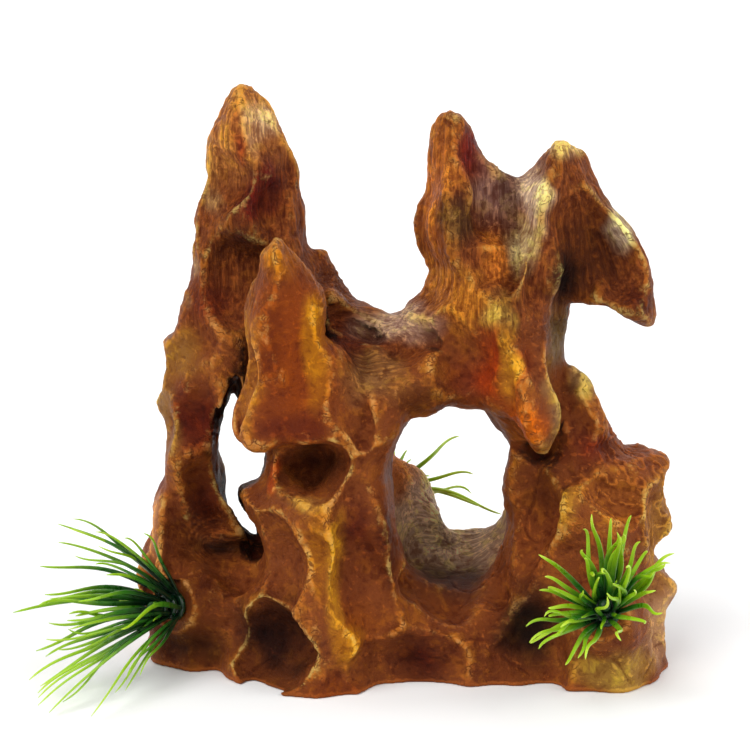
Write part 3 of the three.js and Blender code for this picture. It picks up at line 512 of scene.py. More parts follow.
def socket(mouth, points):
    """The round hole for a tuft's plug, with the flat seat round its mouth."""
    centre = np.array(mouth, float)
    out = unit(points)

    def distance(x, y, z):
        px, py, pz = x - centre[0], y - centre[1], z - centre[2]
        along = dot((px, py, pz), out)
        reach = np.sqrt(np.maximum(px * px + py * py + pz * pz - along * along, 0))
        hole = np.maximum(np.abs(along + SOCKET_DEPTH / 2) - SOCKET_DEPTH / 2, reach - SOCKET_RADIUS)
        seat = np.maximum(np.abs(along - SEAT_HEIGHT / 2) - SEAT_HEIGHT / 2, reach - SEAT_RADIUS)
        return np.minimum(hole, seat)

    span = SEAT_HEIGHT + 2
    return distance, centre - span, centre + span


def boss(mouth, points):
    """The lump of stone that a tuft's socket is sunk in."""
    out = unit(points)
    front = np.array(mouth) - BOSS_DEPTH * out
    return limb((*front, BOSS_RADIUS), (*(front - BOSS_LENGTH * out), BOSS_RADIUS))


def sculpt():
    """The whole casting, built up and hollowed out in order."""
    stone = Stone(GRID_LOW, GRID_HIGH, GRID_CELL)
    for shape, blend in MASSES:
        stone.add(shape, blend)
    for shape, blend in WAYS_THROUGH:
        stone.cut(shape, blend)
    for scallop in BODY_SCALLOPS:
        stone.dent(*scallop)
    for shape, blend in FRONT_MASSES:
        stone.add(shape, blend)
    for scallop in FRONT_SCALLOPS:
        stone.dent(*scallop)
    for tuft in TUFTS.values():
        stone.add(boss(tuft["mouth"], tuft["points"]), BOSS_BLEND)
    stone.values += wear(*stone.axes)
    for tuft in TUFTS.values():
        stone.cut(socket(tuft["mouth"], tuft["points"]), 0)
    stone.values = np.maximum(stone.values, -stone.axes[2])
    return stone


# ---- Noise, for the fine relief ----

LATTICE_SIZE = 32
LATTICE = np.random.default_rng(7).uniform(-1, 1, (LATTICE_SIZE,) * 3)


def noise(points, seed=0):
    """Smooth random values between -1 and 1, one for each row of points."""
    base = np.floor(points).astype(int)
    part = points - base
    part = part * part * (3 - 2 * part)
    base = base + seed * np.array((5, 11, 17))
    return from_corners(base, part, lambda corner: LATTICE[tuple((corner % LATTICE_SIZE).T)])


def layered_noise(points, seed=0, octaves=3):
    return sum(noise(points * 2**n, seed + n) / 2**n for n in range(octaves))


def fade(value, low, high):
    """0 below low, 1 above high, and smooth between them."""
    t = np.clip((value - low) / (high - low), 0, 1)
    return t * t * (3 - 2 * t)


def near(points, centre, size):
    """1 at a centre, falling smoothly to 0 over an ellipsoid of the given half sizes."""
    gap = np.linalg.norm((points - np.array(centre)) / np.array(size), axis=1)
    return 1 - fade(gap, 0.25, 1.0)


# ---- Surface of the casting ----


class Skin:
    """Vertices and quads, with what painting needs to know about each vertex."""

    def __init__(self, points, quads):
        self.points = points.astype(float)
        self.quads = quads
        pairs = np.concatenate([quads[:, (n, (n + 1) % 4)] for n in range(4)])
        self.pairs = np.unique(np.sort(pairs, 1), axis=0)
        self.degree = np.maximum(np.bincount(self.pairs.ravel(), minlength=len(points)), 1)

    def normals(self):
        corner = self.points[self.quads]
        face = np.cross(corner[:, 2] - corner[:, 0], corner[:, 3] - corner[:, 1])
        owners = self.quads.ravel()
        sums = [np.bincount(owners, np.repeat(column, 4), len(self.points)) for column in face.T]
        total = np.stack(sums, 1)
        return total / (np.linalg.norm(total, axis=1, keepdims=True) + 1e-12)

    def bulge(self, times):
        """How far each vertex stands out, in millimetres, from the surface blurred in some passes."""
        a, b = self.pairs.T
        smooth = self.points.T.copy()
        for _ in range(times):
            for column in smooth:
                total = np.bincount(a, column[b], len(column)) + np.bincount(b, column[a], len(column))
                column[:] = 0.4 * column + 0.6 * total / self.degree
        return ((self.points - smooth.T) * self.normals()).sum(1)


def around(points, centre_x, centre_z):
    """Angle and distance of each point from a line that runs from front to back."""
    across, up = points[:, 0] - centre_x, points[:, 2] - centre_z
    return np.arctan2(across, -up), np.hypot(across, up)


def along_the_grain(points):
    """Places in millimetres, shrunk along the direction in which the stone is streaked.

    The streaks run down the peaks, fan out from the second peak, and follow the curves of the
    saddle, of the sill behind the tunnel and of the window's floor.
    """
    x, y, z = points.T
    flow = np.stack([x, y, z * 0.07], 1)
    bends = [
        # centre of the curve, how stretched, and where it rules
        (57, 176, 0.08, True, fade(x, 37, 45) * fade(z, 98, 112)),
        (6, 136, 0.10, False, near(points, (-2, 0, 106), (34, 50, 22))),
        (26, 62, 0.10, False, near(points, (24, 26, 40), (34, 34, 36))),
        (-46, 62, 0.10, False, near(points, (-48, 0, 38), (22, 40, 16))),
    ]
    for centre_x, centre_z, stretch, fan, share in bends:
        angle, reach = around(points, centre_x, centre_z)
        if fan:
            bent = np.stack([angle * 34, y, reach * stretch], 1)
        else:
            bent = np.stack([reach, y, angle * 30 * stretch], 1)
        flow = flow + (bent - flow) * share[:, None]
    return flow


def streaked_share(points):
    """Where the streaks show: the peaks, the saddle, the sill and the window's floor."""
    share = fade(points[:, 2], 98, 120)
    for centre, size in [
        ((-4, 0, 106), (36, 50, 24)), ((24, 26, 40), (32, 34, 36)), ((-50, 0, 40), (22, 40, 14)),
    ]:
        share = np.maximum(share, near(points, centre, size))
    return share * (1 - fin_share(points))


def fin_share(points):
    return near(points, (-25, -30, 105), (21, 20, 46))


def carve_relief(skin):
    """Moves the vertices along their normals: lumps, chips, grain, streaks, cracks and veins."""
    points = skin.points
    streaked = streaked_share(points)
    fin = fin_share(points)
    veined = near(points, (80, -10, 58), (34, 60, 44))
    flow = along_the_grain(points)
    warp = 0.6 * noise(points * 0.12, 3)[:, None]
    streaks = layered_noise(flow * 0.72 + warp, 11, 2)
    lumps = 0.7 * layered_noise(points * 0.09, 1, 3)
    chips = 0.3 * (0.5 - np.abs(layered_noise(points * 0.28, 91, 2)))
    grain = 0.14 * layered_noise(points * 0.6, 5, 2)
    veins = 0.55 * np.clip(1 - np.abs(noise(points * 0.34, 41)) * 5, 0, 1) - 0.15
    cracked = fade(noise(points * 0.04, 77), 0.0, 0.3)
    cracks = -0.4 * cracked * np.clip(1 - np.abs(noise(points * 0.06, 51)) * 22, 0, 1)
    height = (
        (lumps + chips) * (1 - 0.7 * fin)
        + grain
        + streaked * 0.32 * streaks
        + (1 - streaked) * (1 - fin) * cracks
        + veined * veins
    )
    still = fade(points[:, 2], 0.5, 4.0)
    for tuft in TUFTS.values():
        reach = np.linalg.norm(points - np.array(tuft["mouth"]), axis=1)
        still = still * fade(reach, SEAT_RADIUS + 0.5, SEAT_RADIUS + 5)
    skin.points = points + skin.normals() * (height * still)[:, None]


def hollow_shade(stone, skin):
    """How enclosed each vertex is, from 0 in the open to 1 deep in a hollow: how much shade is painted
    there.
    """
    normals = skin.normals()
    total = 0
    reaches = (4.0, 8.0, 14.0, 22.0)
    for reach in reaches:
        total = total + np.clip(1 - stone.at(skin.points + normals * reach) / reach, 0, 1.6)
    # The sill behind the tunnel is left light: the painted shade mostly spares it.
    return total / len(reaches) * (1 - 0.9 * near(skin.points, (24, 18, 42), (34, 36, 36)))


def tone(red, green, blue):
    """An everyday screen colour from 0 to 255, as the linear values that shaders use."""
    part = np.array((red, green, blue)) / 255
    return np.where(part <= 0.04045, part / 12.92, ((part + 0.055) / 1.055) ** 2.4)


BASE_COAT = tone(126, 62, 24)
USUAL_STRENGTH = 0.8
# Airbrushed washes over the base coat, with painted shade in some deep hollows and painted highlights on
# two crown edges: centre, half sizes, screen colour, and a strength if unusual.
WASHES_AND_PAINTED_LIGHT = [
    # back and sides
    ((0, 48, 60), (110, 34, 110), (118, 62, 30), 0.6), ((0, 48, 150), (90, 34, 50), (150, 90, 50), 0.6),
    ((-44, 34, 156), (14, 20, 24), (206, 160, 100)), ((-48, 38, 122), (16, 20, 16), (84, 22, 6), 0.85),
    ((-52, 42, 84), (16, 20, 16), (150, 100, 44)), ((-56, 44, 50), (16, 20, 16), (64, 16, 4), 0.85),
    ((-40, 46, 22), (22, 22, 14), (130, 78, 26)), ((-12, 40, 88), (16, 22, 14), (70, 24, 8), 0.85),
    ((8, 44, 100), (16, 22, 12), (186, 140, 104), 0.7), ((26, 26, 140), (12, 20, 22), (196, 128, 60)),
    ((42, 30, 128), (14, 20, 20), (78, 30, 10), 0.9), ((62, 26, 142), (14, 20, 16), (170, 110, 50)),
    ((54, 34, 104), (16, 20, 14), (120, 84, 40)), ((-6, 46, 30), (16, 20, 16), (150, 84, 20), 0.7),
    ((24, 46, 16), (20, 20, 14), (70, 22, 6)), ((66, 42, 58), (16, 22, 18), (72, 20, 5), 0.85),
    ((66, 46, 22), (20, 22, 16), (156, 106, 50)), ((-72, 20, 112), (12, 22, 16), (90, 30, 10)),
    ((-72, 20, 84), (12, 22, 14), (176, 120, 64)), ((-74, 20, 52), (12, 24, 16), (100, 36, 10)),
    ((-78, 20, 18), (14, 26, 16), (170, 116, 60)), ((96, 16, 60), (12, 24, 12), (92, 34, 12)),
    ((96, 16, 34), (12, 24, 14), (176, 124, 66)), ((96, 16, 10), (14, 26, 14), (80, 30, 10)),
    # tower
    ((-42, 8, 168), (26, 32, 24), (178, 108, 52), 0.9),
    ((-33, -4, 172), (10, 18, 13), (250, 214, 168), 1.0), ((-42, -4, 164), (6, 14, 18), (132, 36, 14), 0.9),
    ((-51, -2, 158), (6, 16, 22), (190, 140, 70), 0.85), ((-32, -4, 155), (12, 26, 10), (80, 8, 4), 1.0),
    ((-36, -6, 146), (14, 24, 11), (84, 12, 4), 1.0), ((-53, -4, 147), (10, 16, 11), (232, 200, 132), 1.0),
    # The first wash on the next line is painted shade in the tower's hollow.
    ((-42, -6, 133), (15, 18, 12), (56, 14, 2), 0.95), ((-50, -2, 116), (14, 20, 12), (98, 30, 8)),
    ((-60, -2, 126), (5, 16, 16), (214, 176, 130)), ((-62, -2, 98), (12, 22, 12), (150, 100, 34)),
    # column and left foot
    ((-56, -4, 78), (14, 20, 16), (86, 16, 2), 0.9), ((-67, 0, 80), (7, 24, 22), (152, 110, 46), 0.7),
    ((-53, -4, 50), (13, 22, 14), (68, 12, 2), 0.95), ((-50, -6, 36), (16, 22, 7), (50, 22, 8), 0.95),
    ((-54, -14, 24), (16, 20, 12), (90, 38, 8)), ((-60, -14, 8), (22, 24, 10), (66, 34, 8)),
    ((-73, 0, 42), (9, 22, 18), (212, 136, 84), 0.9),
    # saddle and arch
    ((-6, -6, 104), (18, 24, 14), (84, 30, 12), 0.95), ((8, -2, 110), (20, 24, 8), (190, 150, 128), 0.85),
    ((-2, -16, 94), (18, 16, 10), (146, 100, 54)), ((16, -18, 90), (20, 18, 9), (106, 54, 14), 0.85),
    ((30, -16, 94), (14, 16, 10), (122, 48, 18)),
    # crown
    ((19, -2, 150), (8, 26, 30), (190, 104, 40), 0.9), ((22, -8, 122), (14, 20, 12), (180, 106, 42), 0.85),
    ((29, -6, 162), (8, 18, 12), (114, 26, 20), 0.95), ((25, -13, 142), (7, 16, 12), (86, 52, 26), 0.95),
    ((38, -2, 150), (13, 22, 16), (142, 100, 88), 0.95), ((36, -8, 130), (8, 14, 11), (196, 108, 36), 0.9),
    # The next wash is a painted highlight on the left side of the second ridge.
    ((49, -8, 149), (7, 14, 14), (226, 192, 164), 0.9),
    ((44, -12, 135), (6, 14, 11), (200, 170, 120), 0.85), ((57, -2, 164), (8, 20, 6), (206, 160, 112), 0.9),
    # The second wash on the next line is painted shade in the hollow behind the second ridge.
    ((66, 0, 132), (20, 26, 22), (82, 36, 6), 0.95), ((57, -8, 125), (9, 28, 14), (26, 6, 2), 0.98),
    # The first wash on the next line is a painted highlight along the crown's right rim.
    ((76, -12, 143), (10, 14, 18), (236, 210, 180), 0.9), ((80, -2, 116), (12, 22, 9), (72, 20, 4), 0.85),
    ((56, -6, 106), (9, 20, 14), (100, 72, 26), 0.9), ((28, -16, 118), (9, 14, 14), (188, 112, 34)),
    ((38, -20, 116), (7, 14, 9), (196, 152, 72), 0.7),
    # spike
    ((38, -22, 98), (11, 16, 18), (146, 46, 2), 0.9), ((46, -26, 82), (8, 14, 12), (170, 72, 2), 0.9),
    ((41, -24, 100), (4, 12, 16), (190, 132, 36), 0.6), ((55, -20, 88), (5, 14, 20), (150, 112, 66)),
    # fin
    ((-25, -30, 104), (20, 18, 42), (134, 56, 4), 1.0), ((-30, -26, 133), (9, 14, 10), (158, 86, 10)),
    ((-31, -34, 104), (6, 12, 26), (104, 38, 2)), ((-17, -30, 108), (6, 14, 26), (176, 106, 8), 0.85),
    ((-38, -26, 102), (5, 16, 30), (160, 94, 26), 0.9), ((-24, -34, 82), (18, 16, 10), (88, 22, 2)),
    # The first wash on the next line is painted shade in the niche under the fin.
    ((-20, -24, 68), (14, 17, 10), (34, 3, 0), 1.0), ((-33, -26, 66), (4, 12, 8), (200, 70, 14), 0.9),
    # body
    ((-28, -38, 60), (18, 16, 5), (136, 88, 36)), ((-32, -36, 43), (12, 18, 14), (124, 64, 28)),
    ((-18, -38, 44), (5, 14, 20), (160, 92, 10)), ((-4, -36, 44), (12, 18, 22), (72, 4, 1), 0.95),
    # The second wash on the next line is the pocket's dark maroon paint with painted shade in it.
    ((-4, -38, 22), (12, 18, 12), (136, 64, 4)), ((-31, -28, 14), (20, 28, 19), (34, 8, 3), 1.0),
    ((-12, -38, 38), (5, 18, 26), (190, 124, 24), 0.85), ((-20, -38, 62), (6, 18, 9), (160, 104, 46), 0.7),
    ((4, -32, 44), (5, 20, 22), (58, 10, 2), 0.9), ((-8, -40, 14), (7, 14, 10), (188, 116, 16)),
    ((-12, -40, 2), (14, 14, 7), (110, 44, 4)), ((14, -30, 9), (15, 18, 12), (66, 12, 1), 0.95),
    # The second wash on the next line is painted shade in the hollow between the body and the right foot.
    ((14, -32, 28), (15, 18, 11), (120, 58, 8)), ((48, -26, 18), (14, 22, 20), (36, 18, 8), 1.0),
    # behind the tunnel
    ((24, 18, 40), (28, 26, 32), (244, 206, 172), 0.95), ((24, 4, 24), (22, 20, 11), (70, 42, 34), 0.95),
    ((26, 12, 38), (18, 22, 8), (112, 76, 62)), ((8, 22, 58), (12, 18, 16), (224, 128, 60), 0.9),
    # right of the body
    ((50, -20, 62), (11, 20, 24), (76, 30, 4), 0.9), ((56, -26, 57), (8, 12, 9), (176, 120, 44), 0.7),
    ((68, -20, 72), (16, 22, 9), (104, 20, 2), 0.85), ((74, -22, 58), (16, 20, 12), (158, 88, 30)),
    ((90, -10, 44), (10, 30, 26), (162, 108, 44), 0.85), ((88, -14, 16), (12, 26, 16), (198, 148, 104)),
    ((74, -36, 7), (20, 22, 10), (176, 132, 56), 0.9), ((66, 0, 92), (8, 20, 8), (172, 134, 84)),
]


def washes_and_painted_light(points):
    """The colour of the washes at each point, painted shade and highlights among them, with ragged edges
    between them.
    """
    colour = np.repeat(BASE_COAT[None], len(points), 0)
    ragged = points + 3.0 * np.stack([noise(points * 0.16, 71 + n) for n in range(3)], 1)
    for centre, size, wash, *strength in WASHES_AND_PAINTED_LIGHT:
        share = (near(ragged, centre, size) * (strength or [USUAL_STRENGTH])[0])[:, None]
        colour = colour * (1 - share) + tone(*wash) * share
    return colour


def store(mesh, name, values):
    """Keeps one value, or one colour, for each vertex."""
    if values.ndim == 1:
        attribute = mesh.attributes.new(name, "FLOAT", "POINT")
        attribute.data.foreach_set("value", values.astype(np.float32))
        return
    attribute = mesh.attributes.new(name, "FLOAT_COLOR", "POINT")
    four = np.ones((len(values), 4), np.float32)
    four[:, :3] = values
    attribute.data.foreach_set("color", four.ravel())


def linked(name, data):
    obj = bpy.data.objects.new(name, data)
    bpy.context.collection.objects.link(obj)
    return obj


def mesh_object(name, points, faces, material):
    mesh = bpy.data.meshes.new(name)
    mesh.from_pydata(points * MM, [], faces)
    mesh.polygons.foreach_set("use_smooth", np.ones(len(mesh.polygons), bool))
    mesh.materials.append(material)
    return linked(name, mesh)


def rock_piece():
    stone = sculpt()
    grid = openvdb.FloatGrid(KNOWN_DEPTH)
    grid.copyFromArray(np.clip(stone.values, -KNOWN_DEPTH, KNOWN_DEPTH))
    points, quads = grid.convertToQuads(isovalue=0.0)
    skin = Skin(points * GRID_CELL + stone.low, quads.astype(int))
    passes = FINE_CELL / GRID_CELL
    lifted = fade(skin.points[:, 2], 1.0, 4.0)
    ridges = skin.bulge(round(9 * passes)) * lifted
    flanks = skin.bulge(round(60 * passes)) * lifted
    carve_relief(skin)
    rock = mesh_object("painted_rock", skin.points, skin.quads.tolist(), rock_material())
    values = {
        "washes_and_painted_light": washes_and_painted_light(skin.points),
        # how much shade is painted into each hollow
        "hollow_shade": hollow_shade(stone, skin),
        "ridges": ridges,
        "flanks": flanks,
        "fine_bulge": skin.bulge(round(4 * passes)),
        "grain": along_the_grain(skin.points),
        "streaked": streaked_share(skin.points),
    }
    for name, value in values.items():
        store(rock.data, name, value)
    return rock


# ---- Materials ----


class Nodes:
    """A short way to wire up a material."""

    def __init__(self, name):
        self.material = bpy.data.materials.new(name)
        self.material.use_nodes = True
        self.tree = self.material.node_tree
        self.tree.nodes.clear()
        self.shader = self.make("BsdfPrincipled")
        self.make("OutputMaterial", Surface=self.shader.outputs[0])

    def make(self, kind, **inputs):
        return self.put(self.tree.nodes.new("ShaderNode" + kind), **inputs)

    def put(self, node, **inputs):
        """Links or sets a node's inputs, which are named with _ for each space."""
        for name, value in inputs.items():
            self.feed(node.inputs[name.replace("_", " ")], value)
        return node

    def feed(self, entry, value):
        if isinstance(value, bpy.types.NodeSocket):
            self.tree.links.new(value, entry)
        else:
            entry.default_value = value

    def surface(self, **inputs):
        self.put(self.shader, **inputs)

    def bumps(self, height, strength, distance):
        bump = self.make("Bump", Strength=strength, Distance=distance, Height=height)
        self.surface(Normal=bump.outputs[0])

    def attribute(self, name, part="Fac"):
        node = self.make("Attribute")
        node.attribute_name = name
        return node.outputs[part]

    def coordinates(self):
        return self.make("TexCoord").outputs["Object"]

    def stretched(self, vector, scale):
        return self.make("Mapping", Vector=vector, Scale=scale).outputs[0]

    def noise(self, vector, scale, detail=4.0, roughness=0.55, distortion=0.0):
        node = self.make(
            "TexNoise", Vector=vector, Scale=scale, Detail=detail, Roughness=roughness,
            Distortion=distortion,
        )
        return node.outputs["Fac"]

    def ramp(self, value, low, high, start=0.0, end=1.0):
        node = self.make(
            "MapRange", Value=value, From_Min=low, From_Max=high, To_Min=start, To_Max=end
        )
        node.interpolation_type = "SMOOTHSTEP"
        return node.outputs[0]

    def math(self, operation, a, b=0.0):
        node = self.make("Math")
        node.operation = operation
        self.feed(node.inputs[0], a)
        self.feed(node.inputs[1], b)
        return node.outputs[0]

    def product(self, a, b):
        return self.math("MULTIPLY", a, b)

    def total(self, first, *others):
        """A value plus others, each a value and its weight."""
        for value, weight in others:
            first = self.math("ADD", first, self.product(value, weight))
        return first

    def mix(self, share, a, b, blend="MIX"):
        node = self.make("Mix")
        node.data_type = "RGBA"
        node.blend_type = blend
        return self.put(node, Factor=share, A=a, B=b).outputs["Result"]

    def layers(self, coat, *layers):
        """Paints over a coat; each layer's cover follows a value from low to high, up to most."""
        for colour, value, low, high, most in layers:
            coat = self.mix(self.ramp(value, low, high, 0, most), coat, colour)
        return coat

    def times(self, coat, colour):
        return self.mix(1.0, coat, colour, "MULTIPLY")


def paint(red, green, blue):
    return (*[float(v) for v in tone(red, green, blue)], 1.0)


def rock_material():
    """Hand-painted resin: washes, mottling, a dark wash with painted shade in the hollows, dry brush on the
    ridges.
    """
    n = Nodes("painted_resin")
    place = n.coordinates()
    # the washes' colours, painted shade and highlights among them
    coat = n.attribute("washes_and_painted_light", "Color")
    # how much shade is painted into each hollow
    hollow = n.attribute("hollow_shade")
    fine = n.attribute("fine_bulge")
    ridges = n.attribute("ridges")
    flanks = n.attribute("flanks")
    streaked = n.attribute("streaked")
    grain = n.attribute("grain", "Vector")

    cloudy = n.noise(place, 38, 4, 0.55)
    blotch = n.noise(place, 170, 6, 0.66, 0.5)
    speck = n.noise(place, 360, 6, 0.75)
    dim = n.times(coat, DIM)
    glow = n.times(coat, GLOW)
    light = n.times(coat, LIGHT)
    coat = n.layers(
        coat, (dim, cloudy, 0.52, 0.7, 0.45), (glow, blotch, 0.5, 0.64, 0.75),
        (dim, blotch, 0.46, 0.34, 0.6),
    )
    streak = n.noise(grain, 1.3, 4, 0.6, 0.1)
    lines = n.product(n.ramp(streak, 0.5, 0.4), streaked)
    coat = n.mix(n.product(lines, 0.5), coat, dim)
    crests = n.product(n.ramp(streak, 0.54, 0.64), streaked)
    coat = n.mix(n.product(crests, 0.5), coat, light)
    # The first of these layers is painted shade, as dark as a wash, deep in the hollows.
    coat = n.layers(
        coat, (paint(24, 6, 1), hollow, 0.5, 0.95, 0.94), (dim, fine, -0.03, -0.13, 0.6),
        (dim, speck, 0.42, 0.3, 0.5), (light, speck, 0.56, 0.68, 0.6), (light, fine, 0.04, 0.14, 0.6),
    )
    halo = n.times(coat, HALO)
    worn = n.total(ridges, (speck, 1.1), (blotch, 0.5))
    pale = n.mix(n.ramp(cloudy, 0.4, 0.6), paint(226, 206, 118), paint(226, 170, 100))
    cracks = n.math("ABSOLUTE", n.math("SUBTRACT", n.noise(place, 260, 2, 0.5, 0.8), 0.5))
    cracks = n.product(n.ramp(cracks, 0.035, 0.0, 0, 0.75), n.ramp(worn, 0.8, 1.1))
    coat = n.layers(
        coat, (halo, n.math("ADD", flanks, blotch), 0.7, 1.7, 0.8), (pale, worn, 0.92, 1.4, 0.62)
    )
    coat = n.mix(cracks, coat, paint(96, 30, 10))
    n.surface(Base_Color=coat, Roughness=n.ramp(blotch, 0.3, 0.7, 0.38, 0.56), Specular_IOR_Level=0.12)
    relief = n.total(
        n.noise(place, 900, 6, 0.75), (blotch, 1.6), (n.product(streak, streaked), 2.6), (speck, 1.2)
    )
    n.bumps(n.math("SUBTRACT", relief, cracks), 1.0, STONE_BUMP)
    return n.material


def leaf_material():
    """Soft moulded plastic: dark green roots, lime tips, a little light through the blade."""
    n = Nodes("grass_leaf")
    place = n.coordinates()
    along = n.attribute("along")
    tint = n.attribute("tint")
    streak = n.noise(place, 350, 3, 0.5)
    shade = n.total(along, (n.math("SUBTRACT", streak, 0.5), 0.25), (tint, 0.18))
    coat = n.layers(
        paint(4, 40, 16), (paint(44, 112, 18), shade, 0.05, 0.4, 1),
        (paint(150, 192, 20), shade, 0.3, 0.8, 1), (paint(200, 222, 64), shade, 0.8, 1.1, 0.6),
    )
    n.surface(Base_Color=coat, Roughness=n.ramp(streak, 0.3, 0.7, 0.26, 0.42))
    n.surface(Subsurface_Weight=0.2, Subsurface_Radius=(0.4, 0.9, 0.1), Subsurface_Scale=0.0012)
    n.bumps(n.noise(place, 900, 3, 0.6), 0.25, PLASTIC_BUMP)
    return n.material


def stem_material():
    """Dark green moulded plastic with faint flow marks."""
    n = Nodes("dark_stem")
    place = n.coordinates()
    flow = n.noise(n.stretched(place, (1, 1, 0.3)), 260, 4, 0.6)
    coat = n.mix(flow, paint(10, 46, 20), paint(26, 82, 30))
    n.surface(Base_Color=coat, Roughness=n.ramp(flow, 0.3, 0.7, 0.35, 0.5))
    n.bumps(flow, 0.2, PLASTIC_BUMP)
    return n.material


def floor_material():
    n = Nodes("studio_floor")
    mottle = n.noise(n.coordinates(), 3, 2, 0.5)
    coat = n.mix(n.ramp(mottle, 0.3, 0.7, 0, 0.3), (0.9, 0.9, 0.9, 1), (0.86, 0.86, 0.85, 1))
    n.surface(Base_Color=coat, Roughness=0.6, Specular_IOR_Level=0.2)
    return n.material


# ---- Grass ----


def blade(root, tip, outward, axis, arch, bow, wave, ripple, girth=1.0):
    """One soft blade: rings of points round an arched spine, and how far along each point is.

    The spine swings sideways by wave and up and down by ripple.
    """
    chord = tip - root
    length = np.linalg.norm(chord)
    crest = root + 0.55 * chord + np.array((0, 0, length * arch)) + outward * bow
    side = unit(np.cross(outward, axis))
    points, along = [], []
    for i in range(BLADE_STATIONS):
        t = i / (BLADE_STATIONS - 1)
        centre = (1 - t) ** 2 * root + 2 * t * (1 - t) * crest + t * t * tip
        tangent = unit((1 - t) * (crest - root) + t * (tip - crest))
        face = unit(np.cross(side, tangent))
        centre = centre + (side * wave + face * ripple) * math.sin(1.8 * math.pi * t) * t
        swell = min(1.0, 0.75 + 1.2 * t) * (1 - 0.68 * t**1.6)
        end = math.sqrt(max(0.0, 1 - (max(0.0, t - 0.93) / 0.075) ** 2))
        wide = BLADE_HALF_WIDTH * girth * swell * end
        thick = BLADE_HALF_THICKNESS * girth * swell * end
        for k in range(BLADE_SIDES):
            angle = 2 * math.pi * k / BLADE_SIDES
            groove = 0.35 * thick * math.exp(-((math.cos(angle) / 0.45) ** 2)) * (math.sin(angle) > 0)
            points.append(
                centre + side * wide * math.cos(angle) + face * (thick * math.sin(angle) - groove)
            )
            along.append(t)
    return np.array(points), np.array(along)


def tube_faces(stations, sides, start=0):
    faces = []
    for i in range(stations - 1):
        for k in range(sides):
            a = start + i * sides + k
            b = start + i * sides + (k + 1) % sides
            faces.append((a, b, b + sides, a + sides))
    faces.append([start + k for k in reversed(range(sides))])
    faces.append([start + (stations - 1) * sides + k for k in range(sides)])
    return faces


def spokes(axis, count):
    """Directions that stand evenly round an axis."""
    flat = unit(np.cross(axis, (0.3, 0.2, 1.0)))
    across = np.cross(axis, flat)
    turns = 2 * math.pi * np.arange(count) / count
    return [flat * math.cos(turn) + across * math.sin(turn) for turn in turns]


def ring(axis, low, wide, sides=28):
    """The collar that a whorl's blades grow from, with rounded edges."""
    high = low + RING_THICKNESS
    edge = 0.3
    profile = [
        (RING_BORE, low), (wide - edge, low), (wide, low + edge), (wide, high - edge),
        (wide - edge, high), (RING_BORE, high),
    ]
    points = [axis * up + out * reach for out in spokes(axis, sides) for reach, up in profile]
    faces = []
    count = len(profile)
    for k in range(sides):
        for i in range(count):
            a, b = k * count + i, k * count + (i + 1) % count
            c, d = ((k + 1) % sides) * count + (i + 1) % count, ((k + 1) % sides) * count + i
            faces.append((a, d, c, b))
    return np.array(points), faces


def leaf_tips(tips, level, axis, random):
    """The tips of the CAD's blades, one shorter blade between neighbours, and the heart leaves."""
    tips = [np.array(tip, float) for tip in tips]
    between = [
        (a + b) / 2 * random.uniform(0.86, 1.0) + random.uniform(-1.5, 1.5, 3)
        for a, b in zip(tips, tips[1:] + tips[:1])
        if a @ b > 0.35 * np.linalg.norm(a) * np.linalg.norm(b)
    ]
    heart = []
    if level == "inner":
        for lean in spokes(axis, HEART_LEAVES):
            reach = random.uniform(0.85, 1.1)
            heart.append((axis * 15 + lean * random.uniform(6, 9)) * reach)
    return tips + between + heart


def whorl_piece(name, tuft, level, material, random):
    """A moulded ring with all its blades, standing for one whorl of the CAD."""
    wide, low, start, arch, bow = WHORLS[level]
    axis = unit(tuft["points"])
    points, faces = ring(axis, low, wide)
    along = np.zeros(len(points))
    tint = np.zeros(len(points))
    middle = axis * (low + RING_THICKNESS / 2)
    for tip in leaf_tips(tuft[level], level, axis, random):
        outward = unit(tip - axis * (tip @ axis))
        short = np.linalg.norm(tip) < HEART_REACH
        wave, ripple = random.uniform(-3, 3, 2) * (0.2 if short else 1)
        bend = 0.0 if short else bow + random.uniform(0, 1.5)
        girth = 0.8 if short else 1.0
        root = middle + outward * start
        new, share = blade(root, tip, outward, axis, arch, bend, wave, ripple, girth)
        faces.extend(tube_faces(BLADE_STATIONS, BLADE_SIDES, len(points)))
        points = np.concatenate([points, new])
        along = np.concatenate([along, share * (0.7 if short else 1)])
        tint = np.concatenate([tint, np.full(len(new), random.uniform(-1, 1) + tuft["ripeness"])])
    piece = mesh_object(f"{name}_{level}_leaves", points + tuft["mouth"], faces, material)
    store(piece.data, "along", along)
    store(piece.data, "tint", tint)
    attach(piece, name)
    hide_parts(f"{name}_{level}_whorl")
    return piece


# ---- Scene ----


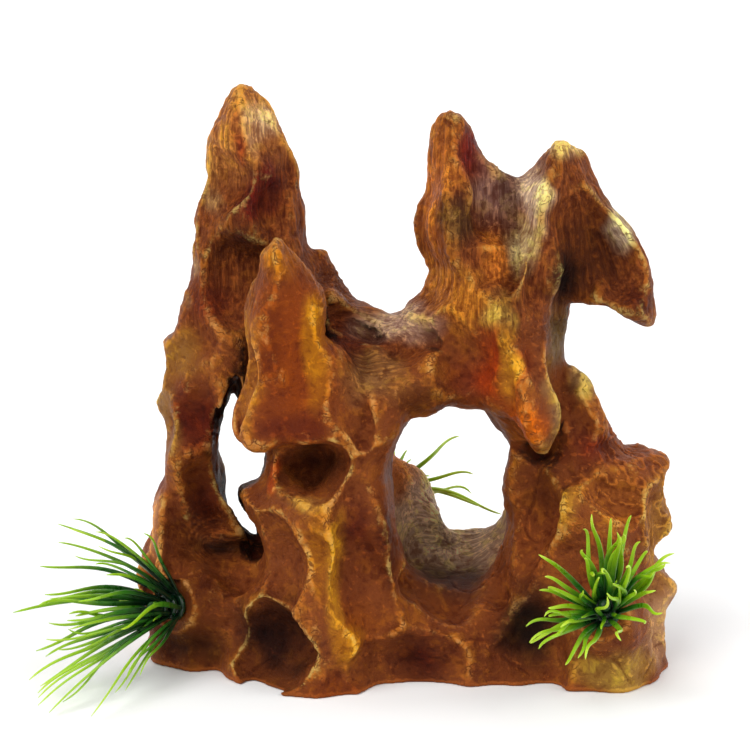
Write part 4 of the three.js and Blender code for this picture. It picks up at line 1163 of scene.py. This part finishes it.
def add_camera():
    """A long lens that looks a little down at the ornament's middle."""
    tilt = math.radians(CAMERA_TILT)
    data = bpy.data.cameras.new("camera")
    data.sensor_width = SENSOR
    data.lens = LENS
    camera = linked("camera", data)
    back, up = CAMERA_DISTANCE * math.cos(tilt), CAMERA_DISTANCE * math.sin(tilt)
    camera.location = (0, -back, AIM_HEIGHT + up)
    camera.rotation_euler = (math.pi / 2 - tilt, 0, 0)
    bpy.context.scene.camera = camera


def add_soft_sun(name, aim, energy):
    """Even light from one side, as soft as that of a large white panel."""
    sun = bpy.data.lights.new(name, "SUN")
    sun.energy = energy
    sun.angle = math.radians(SUN_WIDTH)
    linked(name, sun).rotation_euler = Vector(aim).to_track_quat("-Z", "Y").to_euler()


def add_backdrop():
    """A white sheet that runs back from under the ornament and curves up behind it."""
    profile = [(-SHEET_HALF_WIDTH, 0.0)]
    for angle in np.linspace(0, math.pi / 2, 13):
        back, up = SHEET_CURVE * math.sin(angle), SHEET_CURVE * (1 - math.cos(angle))
        profile.append((SHEET_FLAT + back, up))
    profile.append((SHEET_FLAT + SHEET_CURVE, SHEET_TOP))
    points = [(side * SHEET_HALF_WIDTH, y, z) for y, z in profile for side in (-1, 1)]
    faces = [(2 * i, 2 * i + 1, 2 * i + 3, 2 * i + 2) for i in range(len(profile) - 1)]
    backdrop = mesh_object("studio_floor", np.array(points) / MM, faces, floor_material())


def add_studio():
    add_backdrop()
    world = bpy.data.worlds.new("studio")
    world.use_nodes = True
    background = world.node_tree.nodes["Background"].inputs
    background["Color"].default_value = (1, 1, 1, 1)
    background["Strength"].default_value = WORLD_LIGHT
    bpy.context.scene.world = world
    add_soft_sun("left_key", (0.62, 0.6, -0.95), LEFT_LIGHT)
    add_soft_sun("right_key", (-0.85, 0.35, -0.7), RIGHT_LIGHT)
    bpy.context.scene.view_settings.view_transform = "Standard"


def main():
    add_camera()
    rock = rock_piece()
    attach(rock, "rock")
    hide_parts("rock_casting")
    leaf = leaf_material()
    stem = stem_material()
    random = np.random.default_rng(3)
    for name, tuft in TUFTS.items():
        for level in WHORLS:
            whorl_piece(name, tuft, level, leaf, random)
        for node in (f"{name}_peg", f"{name}_cap"):
            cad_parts[node].data.materials.clear()
            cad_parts[node].data.materials.append(stem)
    add_studio()


main()
